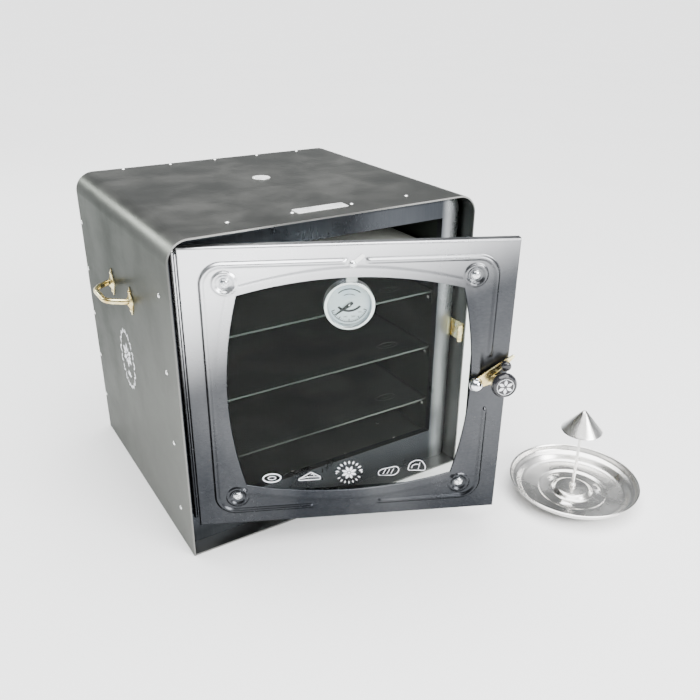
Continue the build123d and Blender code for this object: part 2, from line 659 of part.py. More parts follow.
with BuildPart() as corner_screws:
    with Locations(*door_planes(corner_points(), 0)):
        add(rivet_form(5.5, 3.0, SCREW_R, DOOR_T + 3))
save(corner_screws, "corner_screws")

with BuildPart() as bracket_screw:
    with Locations(*door_planes([BRACKET_SCREW], 0.8)):
        add(rivet_form(4.2, 2.6, SCREW_R, 11.8))
save(bracket_screw, "bracket_screw")

STRAP_FRONT = GLASS_BACK - 0.2
with BuildPart() as door_nuts:
    with BuildSketch(DOOR.offset(BACK_FRAME_Z - LINER)):
        with Locations(*corner_points()):
            RegularPolygon(4.2, 6)
            Circle(SCREW_R + 0.05, mode=Mode.SUBTRACT)
    extrude(amount=-3)
    with BuildSketch(DOOR.offset(STRAP_FRONT - LINER)):
        with Locations(BRACKET_SCREW):
            RegularPolygon(4.2, 6)
            Circle(SCREW_R + 0.05, mode=Mode.SUBTRACT)
    extrude(amount=-3)
save(door_nuts, "door_nuts")

with BuildPart() as screw_tab:
    with BuildSketch(DOOR):
        with Locations(BRACKET_SCREW):
            Circle(4.4)
        with Locations(TAB_AT):
            RectangleRounded(14, 4.6, 1.4)
        with Locations(BRACKET_SCREW):
            Circle(SCREW_HOLE, mode=Mode.SUBTRACT)
    extrude(amount=0.8)
save(screw_tab, "screw_tab")

# ---- thermometer ---------------------------------------------------------------------------
CAN_FRONT = GLASS_BACK - 0.5
CAN_BACK = CAN_FRONT - CAN_DEPTH
CAN_WALL, BEZEL_T = 0.8, 1.6
LENS_T, DIAL_T = 1.2, 0.6
LENS_Z = CAN_FRONT - 0.6
DIAL_Z = CAN_FRONT - 5.0
NEEDLE_Z, NEEDLE_T = DIAL_Z + 1.0, 0.6
SPINDLE_R = 0.9


def dial_disc(outer, inner, height, amount):
    """A disc or ring on the dial's axis, drawn at a height and grown by amount."""
    with BuildSketch(DOOR.offset(height)) as disc:
        with Locations(DIAL_AT):
            Circle(outer)
            if inner:
                Circle(inner, mode=Mode.SUBTRACT)
    extrude(disc.sketch, amount=amount)


with BuildPart() as thermometer_can:
    dial_disc(CAN_R, 0, CAN_BACK, CAN_WALL)
    dial_disc(CAN_R, CAN_R - CAN_WALL, CAN_BACK, CAN_DEPTH - BEZEL_T)
save(thermometer_can, "thermometer_can")

with BuildPart() as thermometer_bezel:
    dial_disc(CAN_R, CAN_R - 3.2, CAN_FRONT, -0.6)
    dial_disc(CAN_R, CAN_R - CAN_WALL, CAN_FRONT, -BEZEL_T)
save(thermometer_bezel, "thermometer_bezel")

with BuildPart() as thermometer_lens:
    dial_disc(CAN_R - CAN_WALL - 0.1, 0, LENS_Z, -LENS_T)
save(thermometer_lens, "thermometer_lens")

with BuildPart() as thermometer_dial:
    dial_disc(CAN_R - CAN_WALL - 0.1, 1.6, DIAL_Z, -DIAL_T)
save(thermometer_dial, "thermometer_dial")

with BuildPart() as thermometer_spindle:
    dial_disc(1.5, 0, CAN_BACK + CAN_WALL, DIAL_Z - CAN_BACK - CAN_WALL + 0.7)
    dial_disc(SPINDLE_R, 0, CAN_BACK + CAN_WALL, NEEDLE_Z + NEEDLE_T - CAN_BACK - CAN_WALL + 0.4)
save(thermometer_spindle, "thermometer_spindle")

COIL_PITCH, COIL_START, COIL_TURNS, COIL_W = 2.4, 2.2, 4, 0.8
with BuildPart() as bimetal_coil:
    with BuildSketch(DOOR.offset(CAN_BACK + 2.0)):
        cx, cz = DIAL_AT
        with BuildLine() as spiral:
            left, right = cx - COIL_START, cx + COIL_START
            for half_turn in range(2 * COIL_TURNS):
                grown = COIL_PITCH * (half_turn + 1) / 2
                far = cx + (COIL_START + grown) * (-1 if half_turn % 2 else 1)
                near = left if half_turn % 2 == 0 else right
                mid = (near + far) / 2
                reach = abs(far - near) / 2
                up = 1 if half_turn % 2 == 0 else -1
                ThreePointArc((near, cz), (mid, cz + up * reach), (far, cz))
                left, right = (left, far) if half_turn % 2 == 0 else (far, right)
        trace(line_width=COIL_W)
    extrude(amount=3.2)
save(bimetal_coil, "bimetal_coil")

with BuildPart() as thermometer_needle:
    cx, cz = DIAL_AT
    tip_at = math.radians(NEEDLE_ANGLE)
    with BuildSketch(DOOR.offset(NEEDLE_Z)):
        with Locations(DIAL_AT):
            Circle(2.4)
        with Locations((cx + 19 * math.cos(tip_at), cz + 19 * math.sin(tip_at))):
            Circle(0.5)
        make_hull()
        with Locations((cx - 3 * math.cos(tip_at), cz - 3 * math.sin(tip_at))):
            Circle(2.0)
        with Locations(DIAL_AT):
            Circle(SPINDLE_R + PIN_GAP, mode=Mode.SUBTRACT)
    extrude(amount=NEEDLE_T)
save(thermometer_needle, "thermometer_needle")

STRAP_W = 12.0
can_top = DIAL_AT[1] + CAN_R
with BuildPart() as thermometer_bracket:
    with BuildSketch(DOOR.offset(STRAP_FRONT)):
        with Locations((BRACKET_SCREW[0], (can_top + 0.2 + BRACKET_SCREW[1] + 6) / 2)):
            RectangleRounded(STRAP_W, BRACKET_SCREW[1] + 6 - can_top - 0.2, 0.4)
        with Locations(BRACKET_SCREW):
            Circle(SCREW_HOLE, mode=Mode.SUBTRACT)
    extrude(amount=-LINER)
    with BuildSketch(DOOR.offset(STRAP_FRONT)):
        with Locations((BRACKET_SCREW[0], can_top + 0.2 + LINER / 2)):
            Rectangle(STRAP_W, LINER)
    extrude(amount=-CAN_DEPTH + 1)
save(thermometer_bracket, "thermometer_bracket")


# ---- latch ---------------------------------------------------------------------------------
def polar(centre, reach, angle):
    return (centre[0] + reach * math.cos(math.radians(angle)), centre[1] + reach * math.sin(math.radians(angle)))


TIP_AT = polar(LATCH_AT, LEVER_TIP, LEVER_ANGLE)
TIP_KNOB_AT = polar(LATCH_AT, LEVER_KNOB, LEVER_ANGLE)
KNOB_AT = polar(LATCH_AT, KNOB_REACH, KNOB_ANGLE)
LEVER_TOP = LEVER_LOW + LEVER_T
PIVOT_R = 3.0
with BuildPart() as latch_lever:
    for end, radius in ((TIP_AT, 3.0), (KNOB_AT, 5.0)):
        with BuildSketch(DOOR.offset(LEVER_LOW)):
            with Locations(LATCH_AT):
                Circle(7)
            with Locations(end):
                Circle(radius)
            make_hull()
        extrude(amount=LEVER_T)
    with BuildSketch(DOOR.offset(LEVER_LOW)):
        with Locations(LATCH_AT):
            Circle(PIVOT_R + PIN_GAP)
    extrude(amount=LEVER_T, mode=Mode.SUBTRACT)
save(latch_lever, "latch_lever")

with BuildPart() as latch_tip_knob:
    with BuildSketch(DOOR.offset(LEVER_TOP)):
        with Locations(TIP_KNOB_AT):
            Circle(5.8)
    extrude(amount=11)
    fillet(latch_tip_knob.edges().filter_by(GeomType.CIRCLE).sort_by_distance(DOOR.offset(40).origin)[0], 3.0)
save(latch_tip_knob, "latch_tip_knob")

KNOB_LOW, KNOB_T = 17.0, 12.0
with BuildPart() as latch_knob_stem:
    with BuildSketch(DOOR.offset(LEVER_TOP)):
        with Locations(KNOB_AT):
            Circle(5.0)
    extrude(amount=KNOB_LOW - LEVER_TOP - 4)
save(latch_knob_stem, "latch_knob_stem")

with BuildPart() as latch_knob:
    with BuildSketch(DOOR.offset(KNOB_LOW)):
        with Locations(KNOB_AT):
            Circle(KNOB_R)
    extrude(amount=KNOB_T)
    fillet(latch_knob.edges().filter_by(GeomType.CIRCLE), 4.0)
    with BuildSketch(DOOR.offset(KNOB_LOW - 4)):
        with Locations(KNOB_AT):
            Circle(7.0)
    extrude(amount=6)
save(latch_knob, "latch_knob")

with BuildPart() as latch_pivot_screw:
    with BuildSketch(DOOR):
        with Locations(LATCH_AT):
            Circle(6.5)
    extrude(amount=LEVER_LOW - 0.3)
    with BuildSketch(DOOR.offset(-LINER)):
        with Locations(LATCH_AT):
            Circle(SCREW_R)
    extrude(amount=4)
    with BuildSketch(DOOR):
        with Locations(LATCH_AT):
            Circle(PIVOT_R)
    extrude(amount=LEVER_TOP + 0.3)
    with BuildSketch(DOOR.offset(LEVER_TOP + 0.3)):
        with Locations(LATCH_AT):
            Circle(8.2)
    extrude(amount=2.5)
    with Locations(*door_planes([LATCH_AT], LEVER_TOP + 2.8)):
        add(rivet_form(7.8, 6.5, 1.0, 1.0))
save(latch_pivot_screw, "latch_pivot_screw")

# ---- loose drip dish with its flame cone ----------------------------------------------------
RING_R, WELL_R, CROWN_R = 70.0, 44.0, 24.0


with BuildPart() as drip_dish:
    with BuildSketch(Plane.XZ):
        with BuildLine():
            FilletPolyline(
                (STEM_R + 0.6, 7.4), (CROWN_R, 6.6), (CROWN_R + 5, 0.4), (WELL_R, 0.4), (WELL_R + 3, 2.4),
                (RING_R, 2.4), (RING_R + 7, 11), (DISH_R - 5, 13), (DISH_R - 2.6, DISH_H - 1),
                (DISH_R - 0.2, DISH_H - 0.4),
                radius=1.0,
            )
        trace(line_width=DISH_SHEET)
    revolve(axis=Axis.Z)
drip_dish.part.location = Location((*DISH_AT, 0))
save(drip_dish, "drip_dish")

with BuildPart() as dish_stem:
    with BuildSketch(Plane.XY.offset(2.5)):
        with Locations(DISH_AT):
            Circle(STEM_R)
    extrude(amount=CONE_LOW + 12 - 2.5)
    with BuildSketch(Plane.XY.offset(2.5)):
        with Locations(DISH_AT):
            Circle(5)
    extrude(amount=3.5)
save(dish_stem, "dish_stem")

with BuildPart() as cone_hat:
    with BuildSketch(Plane.XZ):
        with BuildLine():
            Polyline(
                (0, CONE_HIGH), (CONE_R, CONE_LOW), (CONE_R - 1, CONE_LOW), (4, CONE_HIGH - 6),
                (4, CONE_LOW + 8), (STEM_R + 0.05, CONE_LOW + 8), (STEM_R + 0.05, CONE_LOW + 12.5),
                (0, CONE_LOW + 12.5), close=True,
            )
        make_face()
    revolve(axis=Axis.Z)
cone_hat.part.location = Location((*DISH_AT, 0))
save(cone_hat, "cone_hat")
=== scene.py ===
# %% [markdown]
# # A stovetop box oven in sheet steel
# The oven is a folded steel box that stands over a burner. The CAD model already holds every
# piece at its true size and place, so this lesson adds what CAD leaves out: the soft bends that
# a press leaves in thin sheet, printed marks, and finishes with grain, smears and wear. Each
# step is a cell: first why, then the code, then a printed line that says what was made.

# %% Load the frame
import json
import math

import bmesh
import bpy
import numpy as np
from mathutils import Matrix, Vector


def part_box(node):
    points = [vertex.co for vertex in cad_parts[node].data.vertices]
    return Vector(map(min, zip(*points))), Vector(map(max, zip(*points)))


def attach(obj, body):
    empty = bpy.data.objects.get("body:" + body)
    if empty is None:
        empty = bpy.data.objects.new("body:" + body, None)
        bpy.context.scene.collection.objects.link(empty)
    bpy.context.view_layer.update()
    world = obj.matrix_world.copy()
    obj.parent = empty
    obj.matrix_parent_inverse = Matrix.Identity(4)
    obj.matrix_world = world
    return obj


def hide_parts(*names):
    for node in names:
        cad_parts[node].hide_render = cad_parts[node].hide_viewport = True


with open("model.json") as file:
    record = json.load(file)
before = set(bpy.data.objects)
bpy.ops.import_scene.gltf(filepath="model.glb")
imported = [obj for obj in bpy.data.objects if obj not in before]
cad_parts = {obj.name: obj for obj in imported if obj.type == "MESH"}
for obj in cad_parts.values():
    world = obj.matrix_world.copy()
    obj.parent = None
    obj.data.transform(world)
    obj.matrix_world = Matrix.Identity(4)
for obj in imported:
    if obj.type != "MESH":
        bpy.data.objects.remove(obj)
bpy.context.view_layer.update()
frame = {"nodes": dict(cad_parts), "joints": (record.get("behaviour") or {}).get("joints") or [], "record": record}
joints = {joint["name"]: joint for joint in frame["joints"]}
MM = 0.001

# %% [markdown]
# ## The camera
# The camera is aimed by three angles instead of a target point, because a hand-held view has a
# little roll as well. Its right, up and back directions fill the rotation matrix.

# %% Camera
CAMERA_AT = Vector((-0.4331, -0.8991, 0.6298))
YAW, PITCH, ROLL = 0.5609, 0.4438, 0.0112
LENS, SENSOR = 38.904, 36.0


def camera_turn(yaw, pitch, roll):
    """Rotation whose columns are right, up and back, for a view turned by yaw, tipped down by pitch."""
    ahead = Vector((math.sin(yaw) * math.cos(pitch), math.cos(yaw) * math.cos(pitch), -math.sin(pitch)))
    right = Vector((math.cos(yaw), -math.sin(yaw), 0.0))
    up = right.cross(ahead)
    rolled_right = right * math.cos(roll) + up * math.sin(roll)
    rolled_up = up * math.cos(roll) - right * math.sin(roll)
    return Matrix((rolled_right, rolled_up, -ahead)).transposed()


camera = bpy.data.objects.new("camera", bpy.data.cameras.new("camera"))
bpy.context.scene.collection.objects.link(camera)
bpy.context.scene.camera = camera
camera.matrix_world = Matrix.LocRotScale(CAMERA_AT, camera_turn(YAW, PITCH, ROLL), None)
camera.data.lens, camera.data.sensor_width = LENS, SENSOR
camera.data.clip_start, camera.data.clip_end = 0.01, 900.0
print("camera at", [round(v, 3) for v in CAMERA_AT], "lens", LENS, "mm")

# %% [markdown]
# ## A shorthand for shader maths
# Node trees are hard to read when every link is a line of code. A wire wraps one output socket,
# so that `1 - mask` or `wave * 0.5` adds the Math nodes by itself. All other nodes come from one
# method, which takes the node's type, its settings and its inputs.


# %% Wires and materials
class Wire:
    """One output socket of a material; arithmetic on wires adds Math nodes to its tree."""

    def __init__(self, tree, socket=None):
        self.tree, self.socket = tree, socket

    def node(self, kind, settings=(), inputs=(), out=0):
        """Adds a node, whose inputs may be wires or plain values, and returns its output number out."""
        made = self.tree.nodes.new(kind)
        for key, value in dict(settings).items():
            if key == "stops":
                while len(made.color_ramp.elements) < len(value):
                    made.color_ramp.elements.new(0.5)
                for element, (at, grey) in zip(made.color_ramp.elements, value):
                    element.position, element.color = at, (grey, grey, grey, 1.0)
            else:
                setattr(made, key, value)
        for key, value in dict(inputs).items():
            if isinstance(value, Wire):
                self.tree.links.new(value.socket, made.inputs[key])
            else:
                made.inputs[key].default_value = value
        return Wire(self.tree, made.outputs[out])

    def maths(self, operation, first, second=0.0):
        """Adds a Math node on two wires or numbers."""
        return self.node("ShaderNodeMath", {"operation": operation}, {0: first, 1: second})

    def __add__(self, other):
        return self.maths("ADD", self, other)

    def __sub__(self, other):
        return self.maths("SUBTRACT", self, other)

    def __rsub__(self, other):
        return self.maths("SUBTRACT", other, self)

    def __mul__(self, other):
        return self.maths("MULTIPLY", self, other)

    __radd__, __rmul__ = __add__, __mul__

    def span(self, low, high, to_low=0.0, to_high=1.0):
        """Maps low..high smoothly to to_low..to_high and holds it beyond both ends."""
        limits = {"From Min": low, "From Max": high, "To Min": to_low, "To Max": to_high, "Value": self}
        return self.node("ShaderNodeMapRange", {"interpolation_type": "SMOOTHSTEP"}, limits)

    def tint(self, dark, light):
        """The colour between dark and light that this mask chooses."""
        settings = {"data_type": "RGBA"}
        return self.node("ShaderNodeMix", settings, {0: self, 6: (*dark, 1.0), 7: (*light, 1.0)}, 2)

    def over(self, below, colour):
        """Lays a plain colour over another colour wire, through this mask."""
        return self.node("ShaderNodeMix", {"data_type": "RGBA"}, {0: self, 6: below, 7: (*colour, 1.0)}, 2)


def start_finish(name):
    """A new material: returns it, its surface shader, and a wire of Object coordinates."""
    material = bpy.data.materials.new(name)
    material.use_nodes = True
    tree = material.node_tree
    shader = tree.nodes["Principled BSDF"]
    return material, shader, Wire(tree).node("ShaderNodeTexCoord", out=3)


def stretched(place, scale, turn=(0.0, 0.0, 0.0)):
    """Coordinates turned and then stretched, so that a round pattern becomes grain."""
    return place.node("ShaderNodeMapping", {}, {"Vector": place, "Rotation": turn, "Scale": scale})


def noise(place, scale, detail=3.0, rough=0.5, warp=0.0):
    """A noise mask between 0 and 1 at a place; a higher scale makes it finer."""
    inputs = {"Vector": place, "Scale": scale, "Detail": detail, "Roughness": rough, "Distortion": warp}
    return place.node("ShaderNodeTexNoise", {}, inputs)


def use(shader, **links):
    """Links wires to the shader's sockets, or sets plain values on them; _ stands for a space."""
    for key, value in links.items():
        socket = shader.inputs[key.replace("_", " ")]
        if isinstance(value, Wire):
            value.tree.links.new(value.socket, socket)
        else:
            socket.default_value = value


def bumped(height, strength, distance):
    """A surface normal tilted by the slope of a height mask; distance is in metres."""
    return height.node("ShaderNodeBump", {}, {"Height": height, "Strength": strength, "Distance": distance})


print("wires ready")

# %% [markdown]
# ## Rolled and pressed steel
# Mill-finished sheet is never one grey. Rolling leaves a fine grain in one direction, oil and
# heat leave clouds, and hands leave smears that change how dull it is more than its colour.
# Three noises do this: a stretched one for grain, a soft one for clouds, a small one for smears.


# %% Sheet finishes
CLOUD_SCALE, GRAIN = 5.0, 0.25


def rolled_sheet(name, dark, light, rough, grain_scale, metal=1.0):
    """Steel sheet whose tone, dullness and height follow grain, clouds and smears."""
    material, shader, place = start_finish(name)
    lines = noise(stretched(place, grain_scale), 60.0, 4.0, 0.65)
    clouds = noise(place, CLOUD_SCALE, 3.0, 0.5, 0.2)
    smears = noise(stretched(place, (1.0, 1.0, 2.2), (0.4, 0.9, 0.2)), 11.0, 4.0, 0.55, 0.2)
    tone = (clouds.span(0.3, 0.7) * (1.0 - GRAIN) + lines * GRAIN).span(0.1, 0.9)
    dull = smears.span(0.3, 0.75, rough[0], rough[1]) + (lines - 0.5) * 0.08
    use(shader, Base_Color=tone.tint(dark, light), Roughness=dull, Metallic=metal)
    use(shader, Normal=bumped(lines * 0.1, 0.2, 0.0006))
    return material


ALONG_Y, ALONG_X, ALONG_Z = (8.0, 0.35, 8.0), (0.35, 8.0, 8.0), (8.0, 8.0, 0.35)
finishes = {}
finishes["liner_sheet"] = rolled_sheet(
    "liner_sheet", (0.05, 0.06, 0.054), (0.11, 0.125, 0.112), (0.38, 0.5), ALONG_Y)
finishes["shelf_sheet"] = rolled_sheet(
    "shelf_sheet", (0.055, 0.068, 0.062), (0.13, 0.15, 0.135), (0.30, 0.40), ALONG_X)
finishes["baffle_sheet"] = rolled_sheet(
    "baffle_sheet", (0.66, 0.68, 0.62), (0.86, 0.88, 0.82), (0.4, 0.6), ALONG_X, metal=0.25)
print("sheet finishes:", ", ".join(finishes))

# %% [markdown]
# The casing is the largest surface, so it gets one thing more: painted shade. It is darker
# towards the back and the top and paler towards the foot of the front, with painted light on
# the level top. A slow ramp across the sheet carries that, under the same grain and clouds.


# %% Casing and door finishes
def sheet_with_painted_light(name, dark, light, rough, grain_scale, slope, reach, variety=1.0, painted_top_light=0.0):
    """Rolled sheet with a slow ramp of painted light and shade: slope is the direction that grows darker, reach
    its two ends.
    Variety scales the grain and clouds, and the last argument adds painted light to the level sheet on top."""
    material, shader, place = start_finish(name)
    lines = noise(stretched(place, grain_scale), 60.0, 4.0, 0.65)
    clouds = noise(stretched(place, (1.0, 1.0, 0.55)), 6.0, 4.0, 0.5, 0.2)
    smears = noise(place, 14.0, 4.0, 0.55, 0.2)
    ramp = place.node("ShaderNodeVectorMath", {"operation": "DOT_PRODUCT"}, {0: place, 1: slope}, 1)
    # Painted light and shade: the ramp paints the sheet darker along slope and paler against it.
    painted_shade = ramp.span(reach[0], reach[1])
    tone = (1.0 - painted_shade) * 0.74 + (clouds.span(0.3, 0.7) * 0.16 + lines * 0.10) * variety
    up = place.node("ShaderNodeSeparateXYZ", {}, {0: place}, 2)
    # Painted light on the level top: a pale lift painted in from 378 mm up.
    tone = tone + up.span(0.378, 0.400) * painted_top_light
    dull = smears.span(0.3, 0.75, rough[0], rough[1]) + (lines - 0.5) * 0.06
    use(shader, Base_Color=tone.tint(dark, light), Roughness=dull, Metallic=1.0)
    use(shader, Normal=bumped(lines * 0.05 + clouds * 0.2, 0.12, 0.0010))
    shader.inputs["Specular Tint"].default_value = (0.50, 0.51, 0.50, 1.0)
    return material


# Casing: painted shade, darker towards the back, top and right, paler at the foot of the front, with painted light
# on the top.
finishes["casing_sheet"] = sheet_with_painted_light(
    "casing_sheet", (0.036, 0.039, 0.037), (0.25, 0.25, 0.24), (0.30, 0.42), ALONG_Y,
    (0.35, 0.75, 0.9), (-0.17, 0.30), variety=0.45, painted_top_light=1.0)
# Door: a painted highlight, near white towards the top and left, darker towards the bottom right.
finishes["door_sheet"] = sheet_with_painted_light(
    "door_sheet", (0.006, 0.008, 0.012), (0.97, 0.98, 1.0), (0.24, 0.34), ALONG_X,
    (0.35, 0.0, -0.9), (-0.38, -0.25), variety=0.35)
# Frame: painted shade on its recessed face, and a painted highlight along the bend on its right.
finishes["frame_shade_and_bend_highlight"] = sheet_with_painted_light(
    "frame_shade_and_bend_highlight", (0.020, 0.023, 0.028), (0.62, 0.64, 0.66), (0.26, 0.34), ALONG_Z,
    (-1.0, 0.0, 0.0), (-0.190, -0.168), variety=0.3)
print("casing and door sheet ready")

# %% [markdown]
# ## Bright, brass and black finishes
# Small parts carry the highlights. Polished steel is almost a mirror with a faint haze and fine
# scratches, yellow zinc plating drifts between gold and pale green, and moulded plastic is black
# and glossy with a soft dimple in its skin.


# %% Small finishes
def polished(name, dark, light, rough, scale=34.0):
    """Bright metal: a hazy noise moves its tone and dullness, and fine scratches dull it a little more."""
    material, shader, place = start_finish(name)
    haze = noise(place, scale, 4.0, 0.6, 0.4)
    scratch = noise(stretched(place, (14.0, 2.0, 9.0), (0.3, 0.5, 0.8)), 40.0, 3.0, 0.7)
    tone = haze.span(0.25, 0.75)
    dull = haze.span(0.3, 0.8, rough[0], rough[1]) + scratch.span(0.62, 0.8) * 0.12
    use(shader, Base_Color=tone.tint(dark, light), Roughness=dull, Metallic=1.0)
    use(shader, Normal=bumped(haze + scratch * 0.3, 0.05, 0.0004))
    return material


def plating(name):
    """Yellow zinc on steel: gold drifting to pale green, darker where hands have rubbed it."""
    material, shader, place = start_finish(name)
    drift = noise(place, 46.0, 3.0, 0.55, 1.0)
    rubbed = noise(place, 120.0, 4.0, 0.65)
    colour = drift.span(0.3, 0.7).tint((0.70, 0.50, 0.17), (0.92, 0.86, 0.52))
    worn = rubbed.span(0.60, 0.78) * 0.4
    use(shader, Base_Color=worn.over(colour, (0.26, 0.20, 0.09)), Metallic=1.0)
    use(shader, Roughness=rubbed.span(0.3, 0.75, 0.16, 0.36))
    use(shader, Normal=bumped(rubbed * 0.6 + drift * 0.4, 0.08, 0.0004))
    return material


def moulded(name, dark, light, rough, scale=300.0, coat=0.3):
    """Plastic, paint or ink: a slow noise moves its tone and a fine one its dullness, under a clear coat."""
    material, shader, place = start_finish(name)
    grain = noise(place, scale, 3.0, 0.6)
    cloud = noise(place, 30.0, 3.0, 0.5)
    use(shader, Base_Color=cloud.span(0.3, 0.7).tint(dark, light), Metallic=0.0)
    use(shader, Roughness=grain.span(0.3, 0.7, rough[0], rough[1]))
    use(shader, Normal=bumped(grain, 0.08, 0.0003))
    shader.inputs["Coat Weight"].default_value = coat
    shader.inputs["Coat Roughness"].default_value = 0.08
    return material


def clear_glass(name, alpha):
    """Glass, faintly green, with wiped streaks that dull it a little; a low alpha lets lamplight through."""
    material, shader, place = start_finish(name)
    streaks = noise(stretched(place, (1.0, 1.0, 4.0), (0.0, 0.5, 0.3)), 12.0, 4.0, 0.6, 0.8)
    tint = streaks.span(0.3, 0.7).tint((0.80, 0.85, 0.82), (0.90, 0.93, 0.91))
    use(shader, Base_Color=tint, Roughness=streaks.span(0.5, 0.8, 0.0, 0.035))
    shader.inputs["Transmission Weight"].default_value = 1.0
    shader.inputs["IOR"].default_value = 1.15
    shader.inputs["Alpha"].default_value = alpha
    return material


def woven_tape(name):
    """Heat-resistant tape: two crossing waves for the weave, in dark fibre."""
    material, shader, place = start_finish(name)
    weave = [
        place.node("ShaderNodeTexWave", {"bands_direction": axis},
                   {"Vector": place, "Scale": 260.0, "Distortion": 0.6})
        for axis in ("X", "Z")
    ]
    cloth = weave[0] * 0.5 + weave[1] * 0.5
    use(shader, Base_Color=cloth.tint((0.05, 0.05, 0.048), (0.17, 0.17, 0.16)))
    use(shader, Roughness=cloth.span(0.0, 1.0, 0.95, 0.8), Normal=bumped(cloth, 0.5, 0.0004))
    return material


finishes["bright_plate"] = polished("bright_plate", (0.62, 0.64, 0.66), (0.95, 0.96, 0.97), (0.08, 0.22))
finishes["satin_plate"] = polished("satin_plate", (0.86, 0.87, 0.86), (1.0, 1.0, 0.99), (0.55, 0.7))
finishes["rivet_metal"] = polished("rivet_metal", (0.70, 0.71, 0.70), (0.97, 0.97, 0.96), (0.22, 0.40))
finishes["polished_dish"] = polished(
    "polished_dish", (0.66, 0.65, 0.62), (0.96, 0.95, 0.93), (0.20, 0.36), 14.0)
finishes["can_metal"] = polished("can_metal", (0.42, 0.43, 0.44), (0.68, 0.69, 0.70), (0.25, 0.45))
finishes["bimetal_strip"] = polished("bimetal_strip", (0.50, 0.36, 0.20), (0.78, 0.62, 0.36), (0.2, 0.4))
finishes["brass_plate"] = plating("brass_plate")
finishes["black_bakelite"] = moulded(
    "black_bakelite", (0.006, 0.006, 0.008), (0.018, 0.018, 0.022), (0.12, 0.28))
finishes["needle_paint"] = moulded(
    "needle_paint", (0.010, 0.010, 0.012), (0.03, 0.03, 0.035), (0.3, 0.5), coat=0.0)
finishes["dial_face"] = moulded("dial_face", (0.68, 0.78, 0.93), (0.88, 0.94, 1.0), (0.3, 0.5), coat=0.1)
finishes["print_white"] = moulded(
    "print_white", (0.70, 0.72, 0.76), (0.92, 0.93, 0.95), (0.35, 0.6), 900.0, 0.0)
finishes["window_glass"] = clear_glass("window_glass", 1.0)
finishes["lens_glass"] = clear_glass("lens_glass", 0.12)
finishes["seal_fibre"] = woven_tape("seal_fibre")
print("finishes:", len(finishes))

# %% [markdown]
# Every CAD piece takes the finish that its material slot names in the imported record. A few take
# a close relative of it: the recessed frame is darker, a painted shade, with a painted highlight on
# its right bend; the small pieces on the top are satin, and the dial's lens lets the lamps through.

# %% Finish the CAD pieces
slot_of = {entry["node"]: entry["material_slot"] for entry in frame["record"]["subparts"]}
special = {"label_plate": "satin_plate", "vent_cap": "satin_plate", "front_frame": "frame_shade_and_bend_highlight",
           "thermometer_lens": "lens_glass", "screw_tab": "satin_plate"}
for node_name, piece in frame["nodes"].items():
    piece.data.materials.clear()
    piece.data.materials.append(finishes[special.get(node_name, slot_of[node_name])])
print("CAD pieces finished:", len(slot_of))

# %% [markdown]
# ## The floor and the light
# A pale floor runs past the view, lit by one broad sun. The steel shows what stands round it, so
# the room matters as much as the lamps: a darker ceiling keeps the top grey, and three large soft
# panels draw the bright lines along the bends.


# %% Floor and lights
FLOOR_HALF, FLOOR_HEIGHT = 400.0, -0.0004
SUN_POWER, SUN_ANGLE = 8.5, math.radians(70.0)
CEILING_FROM, CEILING_GLOW, ROOM_POWER = 0.40, 0.28, 0.9


def floor_sheet(half, height):
    """A level square that reaches half to each side of the middle."""
    mesh = bpy.data.meshes.new("floor")
    corners = [(-half, -half, height), (half, -half, height), (half, half, height), (-half, half, height)]
    mesh.from_pydata(corners, [], [(0, 1, 2, 3)])
    floor = bpy.data.objects.new("floor", mesh)
    bpy.context.scene.collection.objects.link(floor)
    return floor


floor_finish, floor_shader, floor_place = start_finish("pale_floor")
floor_clouds = noise(floor_place, 1.5, 2.0)
use(floor_shader, Base_Color=floor_clouds.tint((0.86, 0.86, 0.86), (0.90, 0.90, 0.90)), Roughness=0.9)
floor_shader.inputs["Specular IOR Level"].default_value = 0.1
floor = floor_sheet(FLOOR_HALF, FLOOR_HEIGHT)
floor.data.materials.append(floor_finish)


def panel(name, at, aim, size, power, colour=(1.0, 1.0, 1.0)):
    """A soft rectangular lamp at a point, turned to face another point."""
    lamp = bpy.data.objects.new(name, bpy.data.lights.new(name, "AREA"))
    bpy.context.scene.collection.objects.link(lamp)
    lamp.data.shape, lamp.data.size, lamp.data.size_y = "RECTANGLE", *size
    lamp.data.energy, lamp.data.color = power, colour
    facing = Vector(aim) - Vector(at)
    lamp.matrix_world = Matrix.Translation(at) @ facing.to_track_quat("-Z", "Y").to_matrix().to_4x4()
    lamp.visible_camera = False
    return lamp


daylight = bpy.data.objects.new("daylight", bpy.data.lights.new("daylight", "SUN"))
bpy.context.scene.collection.objects.link(daylight)
daylight.data.energy, daylight.data.angle = SUN_POWER, SUN_ANGLE
panel("back_left", (-1.3, 1.7, 1.05), (-0.2, 0.0, 0.38), (1.3, 0.35), 22.0, (0.94, 1.0, 0.93))
panel("low_front", (-0.78, -1.25, 0.14), (-0.17, -0.2, 0.36), (0.55, 0.42), 1.5)
panel("front_box", (0.6, -2.2, 1.35), (0.0, -0.15, 0.35), (1.4, 1.0), 90.0)

world = bpy.data.worlds.new("room")
bpy.context.scene.world = world
world.use_nodes = True
room = Wire(world.node_tree)
ray = room.node("ShaderNodeTexCoord")
height = room.node("ShaderNodeSeparateXYZ", {}, {0: ray}, 2)
glow = height.span(0.0, CEILING_FROM, 1.0, CEILING_GLOW)
world.node_tree.links.new(
    glow.tint((0.0, 0.0, 0.0), (0.92, 0.96, 1.0)).socket, world.node_tree.nodes["Background"].inputs[0])
world.node_tree.nodes["Background"].inputs[1].default_value = ROOM_POWER

# %% [markdown]
# ## From numbers to surfaces
# All the new pieces are grids of points worked out with numpy. One helper turns grids into a
# mesh: it joins neighbours with quads, wraps round where a shape closes on itself, merges the
# points of a pole, and turns every face outwards.


